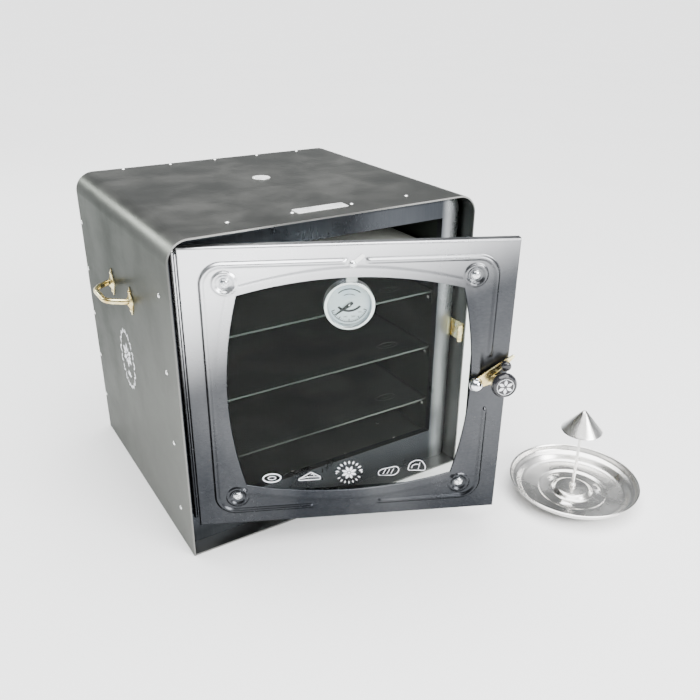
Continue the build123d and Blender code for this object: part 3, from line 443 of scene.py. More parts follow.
# %% Surface helpers
def quads(rows, columns, wrap_rows, wrap_columns):
    """Index rows of four for each cell of a grid, wrapping round where asked."""
    row, column = np.meshgrid(
        np.arange(rows - (not wrap_rows)), np.arange(columns - (not wrap_columns)), indexing="ij")
    row, column = row.ravel(), column.ravel()
    next_row, next_column = (row + 1) % rows, (column + 1) % columns
    corners = [row * columns + column, next_row * columns + column,
               next_row * columns + next_column, row * columns + next_column]
    return np.stack(corners, axis=1)


SHARP_ANGLE, MERGE, SLIVER = math.radians(38), 2e-6, 1e-7


def build(name, grids, body, finish, wrap=(False, True), stands_for=(), caps=True):
    """Makes one piece of several grids of points. Caps close the first and last row of each grid."""
    points, faces, first = [], [], 0
    for grid in grids:
        rows, columns = grid.shape[:2]
        points.append(grid.reshape(-1, 3))
        faces += (quads(rows, columns, *wrap) + first).tolist()
        if caps:
            start_cap = np.arange(columns) + first
            faces += [start_cap.tolist(), (start_cap[::-1] + (rows - 1) * columns).tolist()]
        first += rows * columns
    mesh = bpy.data.meshes.new(name)
    mesh.from_pydata(np.concatenate(points).tolist(), [], faces)
    shell = bmesh.new()
    shell.from_mesh(mesh)
    bmesh.ops.remove_doubles(shell, verts=shell.verts, dist=MERGE)
    bmesh.ops.dissolve_degenerate(shell, dist=SLIVER, edges=shell.edges)
    bmesh.ops.recalc_face_normals(shell, faces=shell.faces)
    shell.to_mesh(mesh)
    shell.free()
    mesh.shade_smooth()
    mesh.set_sharp_from_angle(angle=SHARP_ANGLE)
    mesh.materials.append(finishes[finish])
    piece = bpy.data.objects.new(name, mesh)
    bpy.context.scene.collection.objects.link(piece)
    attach(piece, body)
    if stands_for:
        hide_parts(*stands_for)
    return piece


class Seat:
    """A local frame in the row frame: its origin and its x, y and z directions."""

    def __init__(self, origin, x, y, z):
        self.origin, self.axes = np.array(origin, float), np.array([x, y, z], float)

    def at(self, points):
        """Local points, in millimetres, as points of the row frame, in metres."""
        return self.origin + (np.asarray(points, float) * MM) @ self.axes

    def moved(self, x, y, z=0.0):
        """The same seat with its origin moved by local millimetres."""
        return Seat(self.at([x, y, z]), *self.axes)

    def turned(self, degrees):
        """The same seat turned about its own z."""
        cos, sin = math.cos(math.radians(degrees)), math.sin(math.radians(degrees))
        x, y, z = self.axes
        return Seat(self.origin, x * cos + y * sin, y * cos - x * sin, z)


def turned_grid(seat, profile, steps=64, lift=None):
    """Spins a profile of (radius, height) pairs about the seat's z; lift(radius, angle) adds height."""
    profile = np.array(profile, float)
    angle = np.linspace(0, 2 * np.pi, steps, endpoint=False)
    radius = np.repeat(profile[:, :1], steps, axis=1)
    height = np.repeat(profile[:, 1:], steps, axis=1)
    if lift is not None:
        height = height + lift(radius, angle[None, :])
    return seat.at(np.stack([radius * np.cos(angle), radius * np.sin(angle), height], axis=-1))


def rounded(points, radius, steps=6, closed=False):
    """Rounds the corners of a line of points: start * (1-t)^2 + corner * 2t(1-t) + end * t^2, where
    start and end lie radius away from the corner along its two sides."""
    points = np.array(points, float)
    out = [] if closed else [points[:1]]
    count = len(points)
    blend = np.linspace(0, 1, steps)[:, None]
    for i in range(count) if closed else range(1, count - 1):
        before, here, after = points[i - 1], points[i], points[(i + 1) % count]
        back, ahead = before - here, after - here
        reach = min(radius, 0.49 * np.linalg.norm(back), 0.49 * np.linalg.norm(ahead))
        start = here + back / np.linalg.norm(back) * reach
        end = here + ahead / np.linalg.norm(ahead) * reach
        out.append((1 - blend) ** 2 * start + 2 * blend * (1 - blend) * here + blend ** 2 * end)
    return np.concatenate(out if closed else out + [points[-1:]])


def swept(path, sections):
    """Carries a cross-section along a path: sections[i] holds (sideways, up) pairs at point i of the path.
    Sideways is level, at right angles to the path, and up is at right angles to both."""
    path = np.asarray(path, float)
    along = np.gradient(path, axis=0)
    along /= np.linalg.norm(along, axis=1, keepdims=True)
    aside = np.cross(along, (0.0, 0.0, 1.0))
    aside /= np.linalg.norm(aside, axis=1, keepdims=True)
    above = np.cross(aside, along)
    return path[:, None] + sections[..., :1] * aside[:, None] + sections[..., 1:] * above[:, None]


def ring(half_x, half_y, steps=24, power=1.0):
    """A closed oval of (x, y) pairs; a power under 1 makes it squarer."""
    angle = np.linspace(0, 2 * np.pi, steps, endpoint=False)
    cos, sin = np.cos(angle), np.sin(angle)
    x, y = half_x * np.sign(cos) * abs(cos) ** power, half_y * np.sign(sin) * abs(sin) ** power
    return np.stack([x, y], axis=-1)


print("surface helpers ready")

# %% [markdown]
# ## Where the door is
# The door stands part open, so its pieces are easiest to describe on its own face: s runs from
# the hinge side to the latch side, z is up and the third number stands out from the face. The
# seat is found from the joints: the latch turns about the face's own outward direction.

# %% The door's seat
DOOR_LEFT, DOOR_FACE = 4.0, 10.0
DOOR_W, DOOR_LOW, DOOR_HIGH, DOOR_T = 370.0, 34.0, 389.0, 12.0
outward = np.array(joints["latch_turn"]["axis"], float)
along_face = np.array([-outward[1], outward[0], 0.0])
hinge_line = np.array(joints["door_hinge"]["pos_m"], float) * (1, 1, 0)
door = Seat(hinge_line, along_face, (0, 0, 1), outward).moved(DOOR_LEFT, 0.0, DOOR_FACE)
MID_S, MID_Z = DOOR_W / 2, (DOOR_LOW + DOOR_HIGH) / 2


def on_door(joint_name):
    """A joint's place in the door's own s and z."""
    offset = (np.array(joints[joint_name]["pos_m"]) - door.origin) / MM
    return float(offset @ along_face), float(offset[2])


DIAL_S, DIAL_Z = on_door("thermometer_needle_turn")
LATCH_S, LATCH_Z = on_door("latch_turn")
print("dial at", round(DIAL_S), round(DIAL_Z), "latch at", round(LATCH_S), round(LATCH_Z))

# %% [markdown]
# ## The pressed door skin
# The real skin is one sheet pressed between dies: a round bead follows the edge, each corner has
# a ringed boss, and the sheet rolls softly inwards round the window. CAD shows these as flat
# steps. Here the skin is a strip of points from the window's edge to the door's edge, and its
# height is a sum of smooth bumps, each a function of the distance to a line or a point.

# %% Door skin
WINDOW_HALF, WINDOW_SAG = (125.0, 122.0), (16.0, 16.5)
BEAD_HALF, BEAD_R, BEAD_W, BEAD_UP = (161.0, 157.5), 22.0, 4.4, 2.9
BOSS_HALF, BOSS_R = 137.0, 11.6
BRACKET, LOW_GAP = (185.0, 366.0), -5.0
RIGHT_FADE, LOW_FADE, TOP_FADE = (33, 38), (38, 43), (9, 14)
BOSS_UP, BOSS_W, DISH_DOWN, DISH_R = 1.9, 3.4, 1.3, (6.5, 9.5)
RIM_UP, RIM_R, RIM_W = 0.5, 6.8, 1.2
ORNAMENT_PITCH, ORNAMENT_SIZE, ORNAMENT_UP, ORNAMENT_ROW = 16.0, (6.0, 5.0), 0.8, 32.0
EDGE_BEND = 2.4


def bump(distance, reach):
    """One smooth hill: 1 at distance 0, falling like a cosine to 0 at reach."""
    return 0.5 + 0.5 * np.cos(np.pi * np.clip(distance / reach, -1, 1))


def ease(value, low, high):
    """0 below low, 1 above high, and a smooth slope between."""
    part = np.clip((value - low) / (high - low), 0, 1)
    return part * part * (3 - 2 * part)


def round_box(x, z, half, radius):
    """Distance from a rounded rectangle's outline, negative inside."""
    out_x, out_z = abs(x) - half[0] + radius, abs(z) - half[1] + radius
    outside = np.hypot(np.maximum(out_x, 0), np.maximum(out_z, 0))
    return outside + np.minimum(np.maximum(out_x, out_z), 0) - radius


def pressed_height(s, z):
    """Height of the skin above its flat: bead + bosses + a small row of ornaments under the window."""
    x, y = s - MID_S, z - MID_Z
    bead = bump(round_box(x, y, BEAD_HALF, BEAD_R), BEAD_W)
    gap_right = ease(abs(z - LATCH_Z), *RIGHT_FADE) + (x < BEAD_HALF[0] - BEAD_R)
    gap_low = ease(abs(x - LOW_GAP), *LOW_FADE) + (y > BEAD_R - BEAD_HALF[1])
    gap_top = ease(np.hypot(s - BRACKET[0] - 4, (z - BRACKET[1] - 3) * 1.4), *TOP_FADE)
    height = BEAD_UP * bead * np.minimum(gap_right, 1) * np.minimum(gap_low, 1) * gap_top
    from_boss = np.hypot(abs(x) - BOSS_HALF, abs(y) - BOSS_HALF)
    height += BOSS_UP * bump(from_boss - BOSS_R, BOSS_W) - DISH_DOWN * (1 - ease(from_boss, *DISH_R))
    height += RIM_UP * bump(from_boss - RIM_R, RIM_W)
    half_pitch = ORNAMENT_PITCH / 2
    across = abs((x - LOW_GAP + half_pitch) % ORNAMENT_PITCH - half_pitch) / ORNAMENT_SIZE[0]
    ornament = across + abs(y + BEAD_HALF[1] + 4.5) / ORNAMENT_SIZE[1]
    return height + ORNAMENT_UP * ease(1 - ornament, 0, 0.6) * (abs(x - LOW_GAP) < ORNAMENT_ROW)


def sagged(position, half, sag):
    """How far a bowed side stands out at a place along it: an arc of a circle through its two ends."""
    radius = (half * half + sag * sag) / (2 * sag)
    return np.sqrt(radius ** 2 - position ** 2) - (radius - sag)


def four_sides(steps, half, sag):
    """Points round a rectangle whose sides bow by sag, closer together near the corners."""
    even = np.arange(steps) / steps
    share = 2 * (even - 0.45 * np.sin(2 * np.pi * even) / (2 * np.pi)) - 1
    (a, b), (bow_a, bow_b) = half, sag
    low = np.stack([share * a, -b - sagged(share * a, a, bow_b)], axis=-1)
    right = np.stack([a + sagged(share * b, b, bow_a), share * b], axis=-1)
    return np.concatenate([low, right, -low, -right])


def bead_distance(start, direction, span):
    """Distance along each ray at which it crosses the bead's middle line."""
    reach = np.linspace(0, 1, 400)[:, None] * span
    spots = start + direction * reach[..., None]
    signed = round_box(spots[..., 0], spots[..., 1], BEAD_HALF, BEAD_R)
    after = (signed < 0).sum(axis=0)
    columns = np.arange(len(span))
    before_value, after_value = signed[after - 1, columns], signed[after, columns]
    step = reach[after, columns] - reach[after - 1, columns]
    return reach[after - 1, columns] + step * before_value / (before_value - after_value)


STEPS, INNER_ROWS, BEAD_ROWS, OUTER_ROWS, BACK_EVERY = 210, 36, 17, 13, 4
SKIN_T, LIP_END, FLANGE_BEND = 0.7, 11.0, -7.0
ROLL_UP, ROLL_AT, ROLL_W = 0.75, 10.0, 6.0
SLOPE_IN, SLOPE_SPAN, CURL_IN, CURL_W = 0.7, (0.5, 6.5), 1.9, 0.9
DOOR_HALF = np.array([DOOR_W, DOOR_HIGH - DOOR_LOW]) / 2
window_line = four_sides(STEPS, WINDOW_HALF, WINDOW_SAG)
edge_line = four_sides(STEPS, DOOR_HALF, (1e-3, 1e-3))
flat_line = edge_line * (1 - EDGE_BEND / DOOR_HALF)
span = np.linalg.norm(flat_line - window_line, axis=1)
direction = (flat_line - window_line) / span[:, None]
bead_at = bead_distance(window_line, direction, span)
bead_start, bead_end = bead_at - 1.5 * BEAD_W, bead_at + 1.5 * BEAD_W
columns_of_one = np.ones(len(span))
lip_steps = np.array([0.0, 0.35, 0.8, 1.4, 2.2, 3.2, 4.4, 5.8, 7.4, 9.2, LIP_END])
lip_rows = lip_steps[:, None] * columns_of_one
inner_rows = LIP_END + (bead_start - LIP_END) * np.linspace(0, 1, INNER_ROWS)[1:, None]
bead_rows = bead_start + (bead_end - bead_start) * np.linspace(0, 1, BEAD_ROWS)[1:, None]
outer_rows = bead_end + (span - bead_end) * np.linspace(0, 1, OUTER_ROWS)[1:, None]
from_window = np.concatenate([lip_rows, inner_rows, bead_rows, outer_rows])
flat = window_line + direction * from_window[..., None]
rise = pressed_height(flat[..., 0] + MID_S, flat[..., 1] + MID_Z)
rise += ROLL_UP * bump(from_window - ROLL_AT, ROLL_W) - SLOPE_IN * (1 - ease(from_window, *SLOPE_SPAN))
rise -= CURL_IN * np.maximum(1 - from_window / CURL_W, 0) ** 2


def loop(line, depth):
    """One row of the skin: a line of (s, z) about the door's middle at one depth."""
    return np.concatenate([line + (MID_S, MID_Z), depth * columns_of_one[:, None]], axis=-1)[None]


front = np.concatenate([flat + (MID_S, MID_Z), rise[..., None]], axis=-1)
rows = [front]
for angle in np.linspace(0, np.pi / 2, 5)[1:]:
    across = flat_line + (edge_line - flat_line) * math.sin(angle)
    rows.append(loop(across, -EDGE_BEND * (1 - math.cos(angle))))
inside_line = edge_line * (1 - SKIN_T / DOOR_HALF)
flange_end = 1.0 - DOOR_T
rows += [loop(edge_line, FLANGE_BEND), loop(edge_line, flange_end)]
rows += [loop(inside_line, flange_end), loop(inside_line, -EDGE_BEND)]
rows.append(front[::-BACK_EVERY] - (0.0, 0.0, SKIN_T))
skin = build("door_pressed_skin", [door.at(np.concatenate(rows))], "door", "door_sheet", (True, True),
             ["door_skin"], caps=False)
print("door skin:", len(skin.data.polygons), "faces")

# %% [markdown]
# ## Screws, nuts and the thermometer's rim
# Anything turned on a lathe is a profile spun about an axis. The corner screws are low domes
# with a cross pressed into them, so their height also changes with the angle.


# %% Door screws and bezel
def dome(radius, height, count=9, low=0.0):
    """Profile of a dome from its rim to its pole: heights follow a quarter of an oval."""
    angle = np.linspace(0, np.pi / 2, count)
    return [(radius * math.cos(a), low + height * math.sin(a)) for a in angle]


SLOT_DEEP, SLOT_EDGE, SLOT_END = 0.9, (0.35, 0.75), (2.2, 3.0)


def cross_slot(radius, angle):
    """A cross pressed into the head: deep on two lines through the middle, gone near the rim."""
    arm = np.minimum(abs(np.sin(angle)), abs(np.cos(angle))) * radius
    return -SLOT_DEEP * (1 - ease(arm, *SLOT_EDGE)) * (1 - ease(radius, *SLOT_END))


corners = [(MID_S + i * BOSS_HALF, MID_Z + j * BOSS_HALF) for i in (-1, 1) for j in (-1, 1)]
head = [(0, -1.4), (5.4, -1.4), (5.4, -0.6)] + dome(5.2, 2.8, 12, -0.6)
build("corner_screw_heads", [turned_grid(door.moved(s, z), head, 48, cross_slot) for s, z in corners],
      "door", "bright_plate", stands_for=["corner_screws"], caps=False)
CAN_FRONT, BEZEL_IN, BEZEL_R = -6.3, 24.8, 28.5
dial_seat = door.moved(DIAL_S, DIAL_Z)
bezel = rounded([
    (BEZEL_IN, CAN_FRONT - 1.4), (BEZEL_IN, CAN_FRONT - 0.5), (26.2, CAN_FRONT), (BEZEL_R, CAN_FRONT),
    (BEZEL_R, CAN_FRONT - 1.9), (27.6, CAN_FRONT - 1.9)], 0.7, 5, closed=True)
rim = turned_grid(dial_seat, np.concatenate([bezel, bezel[:1]]), 96)
build("thermometer_rim", [rim], "door", "bright_plate", stands_for=["thermometer_bezel"], caps=False)
print("corner screws and rim turned")

# %% [markdown]
# ## The dial
# The dial's print is thin bands and ticks that stand a hair above the white face: a bold arc
# under the needle, ticks round the lower half and plain numbers. Each band is a thin closed
# strip that follows a path of points.


# %% Dial print
BAND_T, LEAF_T = 0.06, 0.05


def band(seat, path, width, closed=False):
    """A flat strip of a given width that follows a 2-D path on the seat, with a thin rectangular section."""
    path = np.array(path, float)
    if closed:
        path = np.concatenate([path[-1:], path, path[:2]])
    along = np.gradient(path, axis=0)
    along /= np.linalg.norm(along, axis=1, keepdims=True)
    if closed:
        path, along = path[1:-1], along[1:-1]
    aside = np.stack([-along[:, 1], along[:, 0]], axis=-1) * width / 2
    corners = [(path + aside, 0.0), (path - aside, 0.0), (path - aside, BAND_T), (path + aside, BAND_T)]
    edges = [np.concatenate([line, np.full((len(line), 1), up)], axis=-1) for line, up in corners]
    return seat.at(np.stack(edges, axis=1))


def arc(radius, start, end, steps=40, squash=1.0, centre=(0.0, 0.0)):
    """Points on an arc between two angles in degrees."""
    angle = np.radians(np.linspace(start, end, steps))
    return np.array(centre) + np.stack([radius * np.cos(angle), radius * np.sin(angle) * squash], axis=-1)


def spoke(inner, outer, degrees):
    """The two ends of a mark that points at the seat's origin, in a direction given in degrees."""
    turn = math.radians(degrees)
    return [(reach * math.cos(turn), reach * math.sin(turn)) for reach in (inner, outer)]


SCALE_START, SCALE_END, SCALE_STEPS = 200.0, 340.0, 20
DIAL_TOP = CAN_FRONT - 5.0
face = dial_seat.moved(0, 0, DIAL_TOP + 0.02)
marks = [band(face, arc(16.5, 222, 318, centre=(0.0, 9.0)), 2.6)]
marks.append(band(face, arc(20.8, SCALE_START, SCALE_END), 0.7))
for i in range(SCALE_STEPS + 1):
    degrees = SCALE_START + (SCALE_END - SCALE_START) * i / SCALE_STEPS
    marks.append(band(face, spoke(18.4 if i % 5 else 17.2, 20.7, degrees), 0.6 if i % 5 else 1.1))
marks.append(band(face, arc(24.0, 0, 360, 73)[:-1], 0.3, closed=True))
marks += [band(face, arc(18.5, 48, 132), 1.3), band(face, arc(12.5, 60, 120), 0.8)]
build("dial_marks", marks, "door", "needle_paint")
print("dial marks:", len(marks))


def written(name, words, seat, size, body, finish):
    """Flat characters as a mesh, centred on a seat."""
    curve = bpy.data.curves.new(name, "FONT")
    curve.body, curve.size, curve.extrude = words, size, 0.02
    curve.align_x, curve.align_y = "CENTER", "CENTER"
    text = bpy.data.objects.new(name, curve)
    bpy.context.scene.collection.objects.link(text)
    mesh = bpy.data.meshes.new_from_object(text)
    bpy.data.objects.remove(text)
    local = np.empty(len(mesh.vertices) * 3, np.float32)
    mesh.vertices.foreach_get("co", local)
    mesh.vertices.foreach_set("co", seat.at(local.reshape(-1, 3)).ravel())
    mesh.materials.clear()
    mesh.materials.append(finishes[finish])
    piece = bpy.data.objects.new(name, mesh)
    bpy.context.scene.collection.objects.link(piece)
    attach(piece, body)
    return piece


for i in range(4):
    degrees = math.radians(SCALE_START + (SCALE_END - SCALE_START) * (i + 0.5) / 4)
    spot = face.moved(15.2 * math.cos(degrees), 15.2 * math.sin(degrees))
    written(f"dial_number_{i}", str(100 * i), spot, 2.9, "door", "needle_paint")
print("dial numbers written")

# %% [markdown]
# ## The latch
# A brass-plated lever turns on a domed pivot. It carries a small black knob near its tip and a
# large one on a stem, which the hand turns. The lever's two arms are bars whose section is a
# squarish oval that gets narrower along the arm; the knobs are turned.

# %% Latch pieces
LEVER_LOW, LEVER_T = 3.2, 2.5
LEVER_TIP, LEVER_KNOB = 53.0, 41.0
KNOB_REACH, KNOB_ANGLE, KNOB_R, KNOB_LOW, KNOB_T = 28.9, 14.0, 15.0, 17.0, 12.0
lever_angle = -joints["latch_turn"]["range_deg"][0]
latch = door.moved(LATCH_S, LATCH_Z)


def arm(seat, length, start_half, end_half):
    """A bar along the seat's x: rounded at both ends, its half width running from one value to the other."""
    turn = np.linspace(0, np.pi, 33)
    x = length / 2 - np.cos(turn) * (length / 2 + (start_half + end_half) / 2) + (end_half - start_half) / 2
    blunt = np.maximum(np.sin(turn), 0) ** 0.35
    half = (start_half + (end_half - start_half) * np.clip(x / length, 0, 1)) * blunt
    section = ring(1.0, 1.0, 28, 0.5)
    middle = LEVER_LOW + LEVER_T / 2
    y = half[:, None] * section[:, 0]
    z = middle + LEVER_T / 2 * np.minimum(1, blunt * 1.6)[:, None] * section[:, 1]
    return seat.at(np.stack([np.repeat(x[:, None], 28, axis=1), y, z], axis=-1))


lever = arm(latch.turned(lever_angle), LEVER_TIP, 6.6, 2.9)
knob_arm = arm(latch.turned(KNOB_ANGLE), KNOB_REACH, 6.4, 4.6)
build("latch_lever_bar", [lever, knob_arm], "latch", "brass_plate", stands_for=["latch_lever"])
pivot = [(0, 0.05), (6.5, 0.05), (6.5, 2.6), (3.0, 2.9), (3.0, 6.0), (8.2, 6.0), (8.2, 7.0)]
pivot = rounded(pivot, 0.3, 3).tolist() + dome(7.9, 7.4, 14, 7.2)
build("latch_pivot_dome", [turned_grid(latch, pivot, 64)], "door", "bright_plate",
      stands_for=["latch_pivot_screw"], caps=False)
tip_seat = latch.turned(lever_angle).moved(LEVER_KNOB, 0)
tip_knob = rounded(
    [(0, 5.7), (4.4, 5.7), (4.0, 8.0), (5.9, 10.5), (5.9, 15.0), (3.5, 16.8), (0, 16.8)], 1.6, 6)
build("latch_tip_button", [turned_grid(tip_seat, tip_knob, 48)], "latch", "black_bakelite",
      stands_for=["latch_tip_knob"], caps=False)
knob_seat = latch.turned(KNOB_ANGLE).moved(KNOB_REACH, 0)
knob_top = KNOB_LOW + KNOB_T
knob = rounded([
    (0, 13.0), (7.0, 13.0), (6.4, 16.0), (12.0, 17.0), (KNOB_R, 20.5), (KNOB_R, 25.5), (12.6, knob_top),
    (11.4, knob_top), (11.0, knob_top - 0.5), (0, knob_top - 0.2)], 1.8, 6)
build("latch_round_knob", [turned_grid(knob_seat, knob, 72)], "latch", "black_bakelite",
      stands_for=["latch_knob"], caps=False)
stem = rounded([(0, 5.7), (5.6, 5.7), (5.6, 8.0), (4.4, 8.6), (4.4, 13.0), (0, 13.0)], 0.5, 4)
build("latch_knob_post", [turned_grid(knob_seat, stem, 48)], "latch", "brass_plate",
      stands_for=["latch_knob_stem"], caps=False)
print("latch pieces turned")


# %% Knob rosette
def leaf(seat, angle, start, length, width, lift=0.0):
    """A flat leaf on a spoke of the seat: its half width is width / 2 * sin(pi * t), where t runs from
    0 at the stem to 1 at the tip."""
    along = np.linspace(0, 1, 11)
    reach, half = start + length * along, width / 2 * np.sin(np.pi * along)
    corners = ((-1, lift), (1, lift), (1, lift + LEAF_T), (-1, lift + LEAF_T))
    edges = [np.stack([reach, side * half, np.full(len(along), up)], axis=-1) for side, up in corners]
    return seat.turned(angle).at(np.stack(edges, axis=1))


petals = [leaf(knob_seat, 60 * i + 15, 1.6, 7.6, 3.6, knob_top - 0.3) for i in range(6)]
petals.append(band(knob_seat.moved(0, 0, knob_top - 0.3), arc(9.9, 0, 360, 49)[:-1], 0.5, closed=True))
build("knob_rosette", petals, "latch", "print_white")
print("rosette:", len(petals), "marks")

# %% [markdown]
# ## Carrying handles
# Each handle is a bent rod held by two pressed feet. The rod is a round section carried along a
# rounded path, a little flattened where the bender gripped it. A foot is a leaf-shaped plate with
# four hollow sides: its outline is a star-like oval, and it rises smoothly to a collar.

# %% Handles
ROD_R, FOOT_T, HANDLE_OUT = 3.4, 1.5, 26.0
FOOT_HALF, FOOT_POWER = (9.5, 18.5), 0.92


def foot(seat, half_wide, half_high):
    """A four-pointed pressed plate, its outline |x/a|^p + |y/b|^p = 1 with p = FOOT_POWER. Rings inside it
    are the same outline times a share, and rise towards the middle."""
    angle, p = np.linspace(0, 2 * np.pi, 72, endpoint=False), FOOT_POWER
    edge = (abs(np.cos(angle) / half_wide) ** p + abs(np.sin(angle) / half_high) ** p) ** (-1 / p)
    share = np.array([0.0, 1.0, 1.0, 0.97, 0.85, 0.68, 0.5, 0.36, 0.27, 0.2, 0.0])[:, None]
    height = np.array([0.0, 0.0, 0.9, 1.3, 1.5, 1.9, 2.6, 3.6, 4.8, 5.0, 5.0])[:, None]
    x, y = share * edge * np.cos(angle), share * edge * np.sin(angle)
    return seat.at(np.stack([x, y, height + np.zeros(x.shape)], axis=-1))


for side, word in ((-1, "left"), (1, "right")):
    low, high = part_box(f"handle_{word}")
    feet_low, feet_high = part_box(f"handle_feet_{word}")
    wall = (feet_high.x if side < 0 else feet_low.x) / MM
    height = (low.z + high.z) / 2 / MM
    y0, y1 = low.y / MM + 3.0, high.y / MM - 3.0
    out = wall + side * (FOOT_T + HANDLE_OUT)
    near, knee = wall + side, wall + side * 7
    corners = [(near, y1), (knee, y1), (out, y1 - 15), (out, y0 + 15), (knee, y0), (near, y0)]
    path = np.array([(x, y, height) for x, y in rounded(corners, 16.0, 12)])
    grip = np.linspace(-1, 1, len(path))[:, None, None]
    section = ring(ROD_R, ROD_R, 24) * (1 - 0.08 * bump(abs(grip) - 0.62, 0.25) * np.array([1.0, -1.0]))
    build(f"handle_rod_{word}", [swept(path, section) * MM], "cabinet", "brass_plate",
          stands_for=[f"handle_{word}"])
    seats = [Seat(np.array([wall, y, height]) * MM, (0, side, 0), (0, 0, 1), (side, 0, 0)) for y in (y0, y1)]
    build(f"handle_plates_{word}", [foot(seat, *FOOT_HALF) for seat in seats], "cabinet", "brass_plate",
          stands_for=[f"handle_feet_{word}"], caps=False)
print("handles bent")

# %% [markdown]
# ## The drip dish and its cone
# The dish is spun from thin polished steel: a rolled rim, a step, a wide flat ring and a raised
# crown. Three short ribs are pressed up on a circle round the crown. A rib is a hill in radius
# times a hill in angle, added to the spun height on both faces of the sheet.

# %% Dish, stem and cone
dish_low, dish_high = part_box("drip_dish")
dish_at = [(dish_low.x + dish_high.x) / 2, (dish_low.y + dish_high.y) / 2, 0.0]
dish = Seat(dish_at, (1, 0, 0), (0, 1, 0), (0, 0, 1))
RIB_R, RIBS, RIB_START = 35.5, 3, 0.5
RIB_UP, RIB_WIDE, RIB_LONG = 2.6, 4.2, 0.42


def ribs(radius, angle):
    """Pressed-up crescents: a hill in radius times a hill in angle. RIB_WIDE, in millimetres, and
    RIB_LONG, in radians, are how far each hill reaches to either side."""
    turn = (angle + RIB_START + np.pi / RIBS) % (2 * np.pi / RIBS) - np.pi / RIBS
    return RIB_UP * bump(radius - RIB_R, RIB_WIDE) * bump(turn, RIB_LONG)


upper = rounded([
    (2.3, 8.2), (11, 8.0), (22, 7.0), (28, 1.4), (44, 1.2), (47, 3.2), (66, 3.4), (70, 4.4),
    (77, 12.0), (82.5, 13.6), (84.6, 20.6), (86.0, 22.0), (87.4, 21.2)], 2.2, 6)
fine = np.linspace(0, 1, 5)[:-1, None]
between = [a + (b - a) * fine for a, b in zip(upper[:-1], upper[1:])]
upper = np.concatenate(between + [upper[-1:]])
steep = np.gradient(upper, axis=0)
steep /= np.linalg.norm(steep, axis=1, keepdims=True)
lower = (upper - np.stack([-steep[:, 1], steep[:, 0]], axis=-1) * 0.8)[::-1]
lower[:, 1] = np.maximum(lower[:, 1], 0.02)
spun = turned_grid(dish, np.concatenate([upper, lower, upper[:1]]), 160, ribs)
build("dish_spun", [spun], "dish", "polished_dish", stands_for=["drip_dish"], caps=False)
STEM_TOP, CONE_LOW, CONE_HIGH, CONE_R = 111.0, 99.0, 129.0, 27.5
post = rounded([
    (0, 2.6), (5.2, 2.6), (5.2, 4.0), (3.2, 8.6), (4.6, 9.4), (4.2, 12.0), (2.0, 13.6), (1.9, 92.0),
    (2.7, 98.0), (2.7, STEM_TOP), (0, STEM_TOP)], 1.0, 5)
build("dish_post", [turned_grid(dish, post, 40)], "dish", "polished_dish",
      stands_for=["dish_stem"], caps=False)


SEAM_UP, SEAM_AT = 0.45, 1.0


def seam(radius, angle):
    """The lap where the cone's sheet meets itself: a low step across a narrow fan of angle."""
    turn = (angle + SEAM_AT) % (2 * np.pi)
    return SEAM_UP * (ease(turn, 0.0, 0.12) - ease(turn, 0.5, 2.0)) * (radius > 3)


inside_top = CONE_LOW + 12.2
cone = rounded([
    (0, CONE_HIGH), (3.4, CONE_HIGH - 2.2), (14, CONE_LOW + 15.6), (CONE_R - 0.8, CONE_LOW + 1.2),
    (CONE_R, CONE_LOW + 0.1), (CONE_R - 1.4, CONE_LOW + 0.4), (5, CONE_HIGH - 7), (2.9, CONE_HIGH - 9),
    (2.9, inside_top), (0, inside_top)], 1.2, 5)
build("cone_cap", [turned_grid(dish, cone, 96, seam)], "dish", "polished_dish",
      stands_for=["cone_hat"], caps=False)
print("dish, post and cone spun")

# %% [markdown]
# ## Printed marks
# The window carries a row of small white pictures of food, and the left wall a large ornament.
# All of them are plain shapes of our own: bands that follow an outline, leaves and dots. They
# stand less than a tenth of a millimetre above what they are printed on.

# %% Window pictures
GLASS_FRONT = -2.8
glass = door.moved(0, 0, GLASS_FRONT + 0.02)


def dot(seat, radius):
    """A flat round spot on a seat."""
    return turned_grid(seat, [(0, 0), (radius, 0), (radius, LEAF_T), (0, LEAF_T)], 14)


def outline(seat, points, radius, steps, width):
    """A closed band that follows a shape with rounded corners."""
    return band(seat, rounded(points, radius, steps, closed=True), width, closed=True)


def oval(seat, radius, steps, squash, width):
    """A closed band along an ellipse: radius across, radius * squash up."""
    return band(seat, arc(radius, 0, 360, steps, squash)[:-1], width, closed=True)


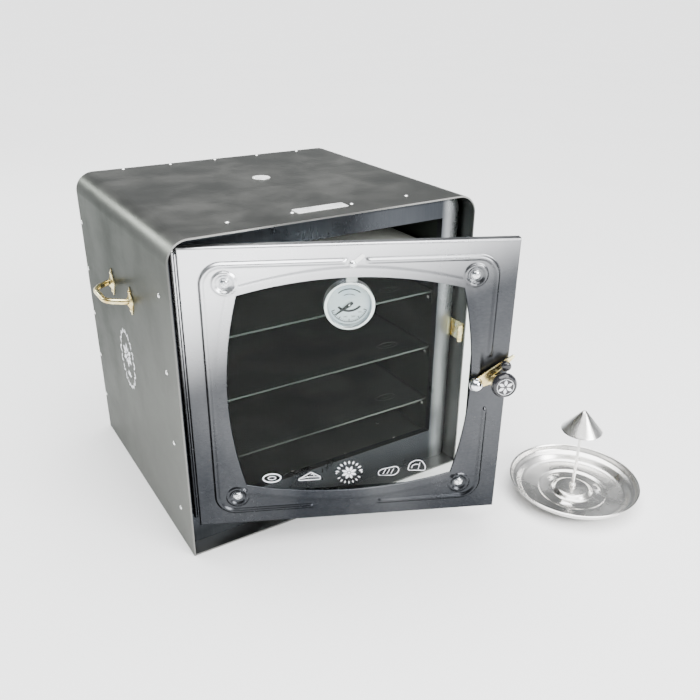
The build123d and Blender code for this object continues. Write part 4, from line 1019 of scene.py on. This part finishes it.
pictures = []
cake = glass.moved(90, 96)
pictures += [oval(cake, 10.6, 49, 0.56, 1.7), oval(cake, 4.6, 33, 0.5, 1.0)]
slice_seat = glass.moved(135.5, 95)
pictures += [outline(slice_seat, [(-13, -3), (2, 6), (13, -1), (13, -5), (-13, -5)], 1.2, 4, 1.1),
             band(slice_seat, [(-12, -2.4), (0, -0.6), (12.6, -1.4)], 0.8)]
pictures += [leaf(slice_seat.moved(x, y), 20 * x, 0, 3.2, 1.4) for x, y in ((-3, 0.6), (2, 2.4), (6, 0.4))]
loaf = glass.moved(233, 95)
crust = [(-12.4, -5), (-12.8, 1), (-8, 4), (9, 7), (12.8, 4), (12.4, -2), (7, -6)]
pictures.append(outline(loaf, crust, 3.5, 6, 1.0))
pictures += [band(loaf, [(x, -3.4), (x + 3.4, 3.6)], 0.8) for x in (-7, -2, 3)]
roast = glass.moved(268.0, 101)
joint_of_meat = [(-11, -6), (-9, 4), (-2, 8), (6, 7), (11, -1), (11, -8), (2, -7)]
pictures += [outline(roast, joint_of_meat, 3.0, 6, 1.0),
             band(roast, arc(5.0, 20, 200, 20, 0.8, (-1, -2)), 0.9), band(roast, [(2, -6), (4, 4)], 0.8)]
badge = glass.moved(184, 97)
pictures += [leaf(badge, 90 + i * 20, 12.2, 5.0, 2.3) for i in range(-4, 5)]
pictures += [leaf(badge, 270 + i * 20, 12.2, 4.2, 1.6) for i in range(-3, 4)]
pictures += [dot(badge.moved(x, 0), 1.0) for x in (-15.5, 15.5)]
pictures += [leaf(badge, 45 * i + 22.5, 1.8, 7.8, 3.4) for i in range(8)] + [dot(badge, 1.4)]
build("window_pictures", pictures, "door", "print_white")
print("window pictures:", len(pictures), "shapes")

# %% Side ornament
wall_low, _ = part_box("outer_shell")
ornament = Seat((wall_low.x, 0.0185, 0.1855), (0, -1, 0), (0, 0, 1), (-1, 0, 0))
HALF_WIDE, HALF_HIGH = 26.0, 40.0
sprigs = []
for i in range(34):
    turn = 2 * math.pi * (i + 0.5) / 34
    spot = ornament.moved(HALF_WIDE * math.cos(turn), HALF_HIGH * math.sin(turn))
    tilt = math.degrees(turn) + (55 if i % 2 else -40)
    sprigs.append(leaf(spot, tilt, -3.5, 9.0, 3.4))
flower = ornament.moved(0, 6)
sprigs += [leaf(flower, 60 * i + 30, 3.0, 15.0, 6.5) for i in range(6)]
sprigs += [leaf(flower, 60 * i, 6.0, 9.0, 2.6) for i in range(6)] + [dot(flower, 2.2)]
sprigs += [leaf(ornament.moved(0, -26), 90 + i * 32, 1.0, 9.0, 3.0) for i in (-2, -1, 0, 1, 2)]
build("side_ornament", sprigs, "cabinet", "print_white")
print("side ornament:", len(sprigs), "leaves")
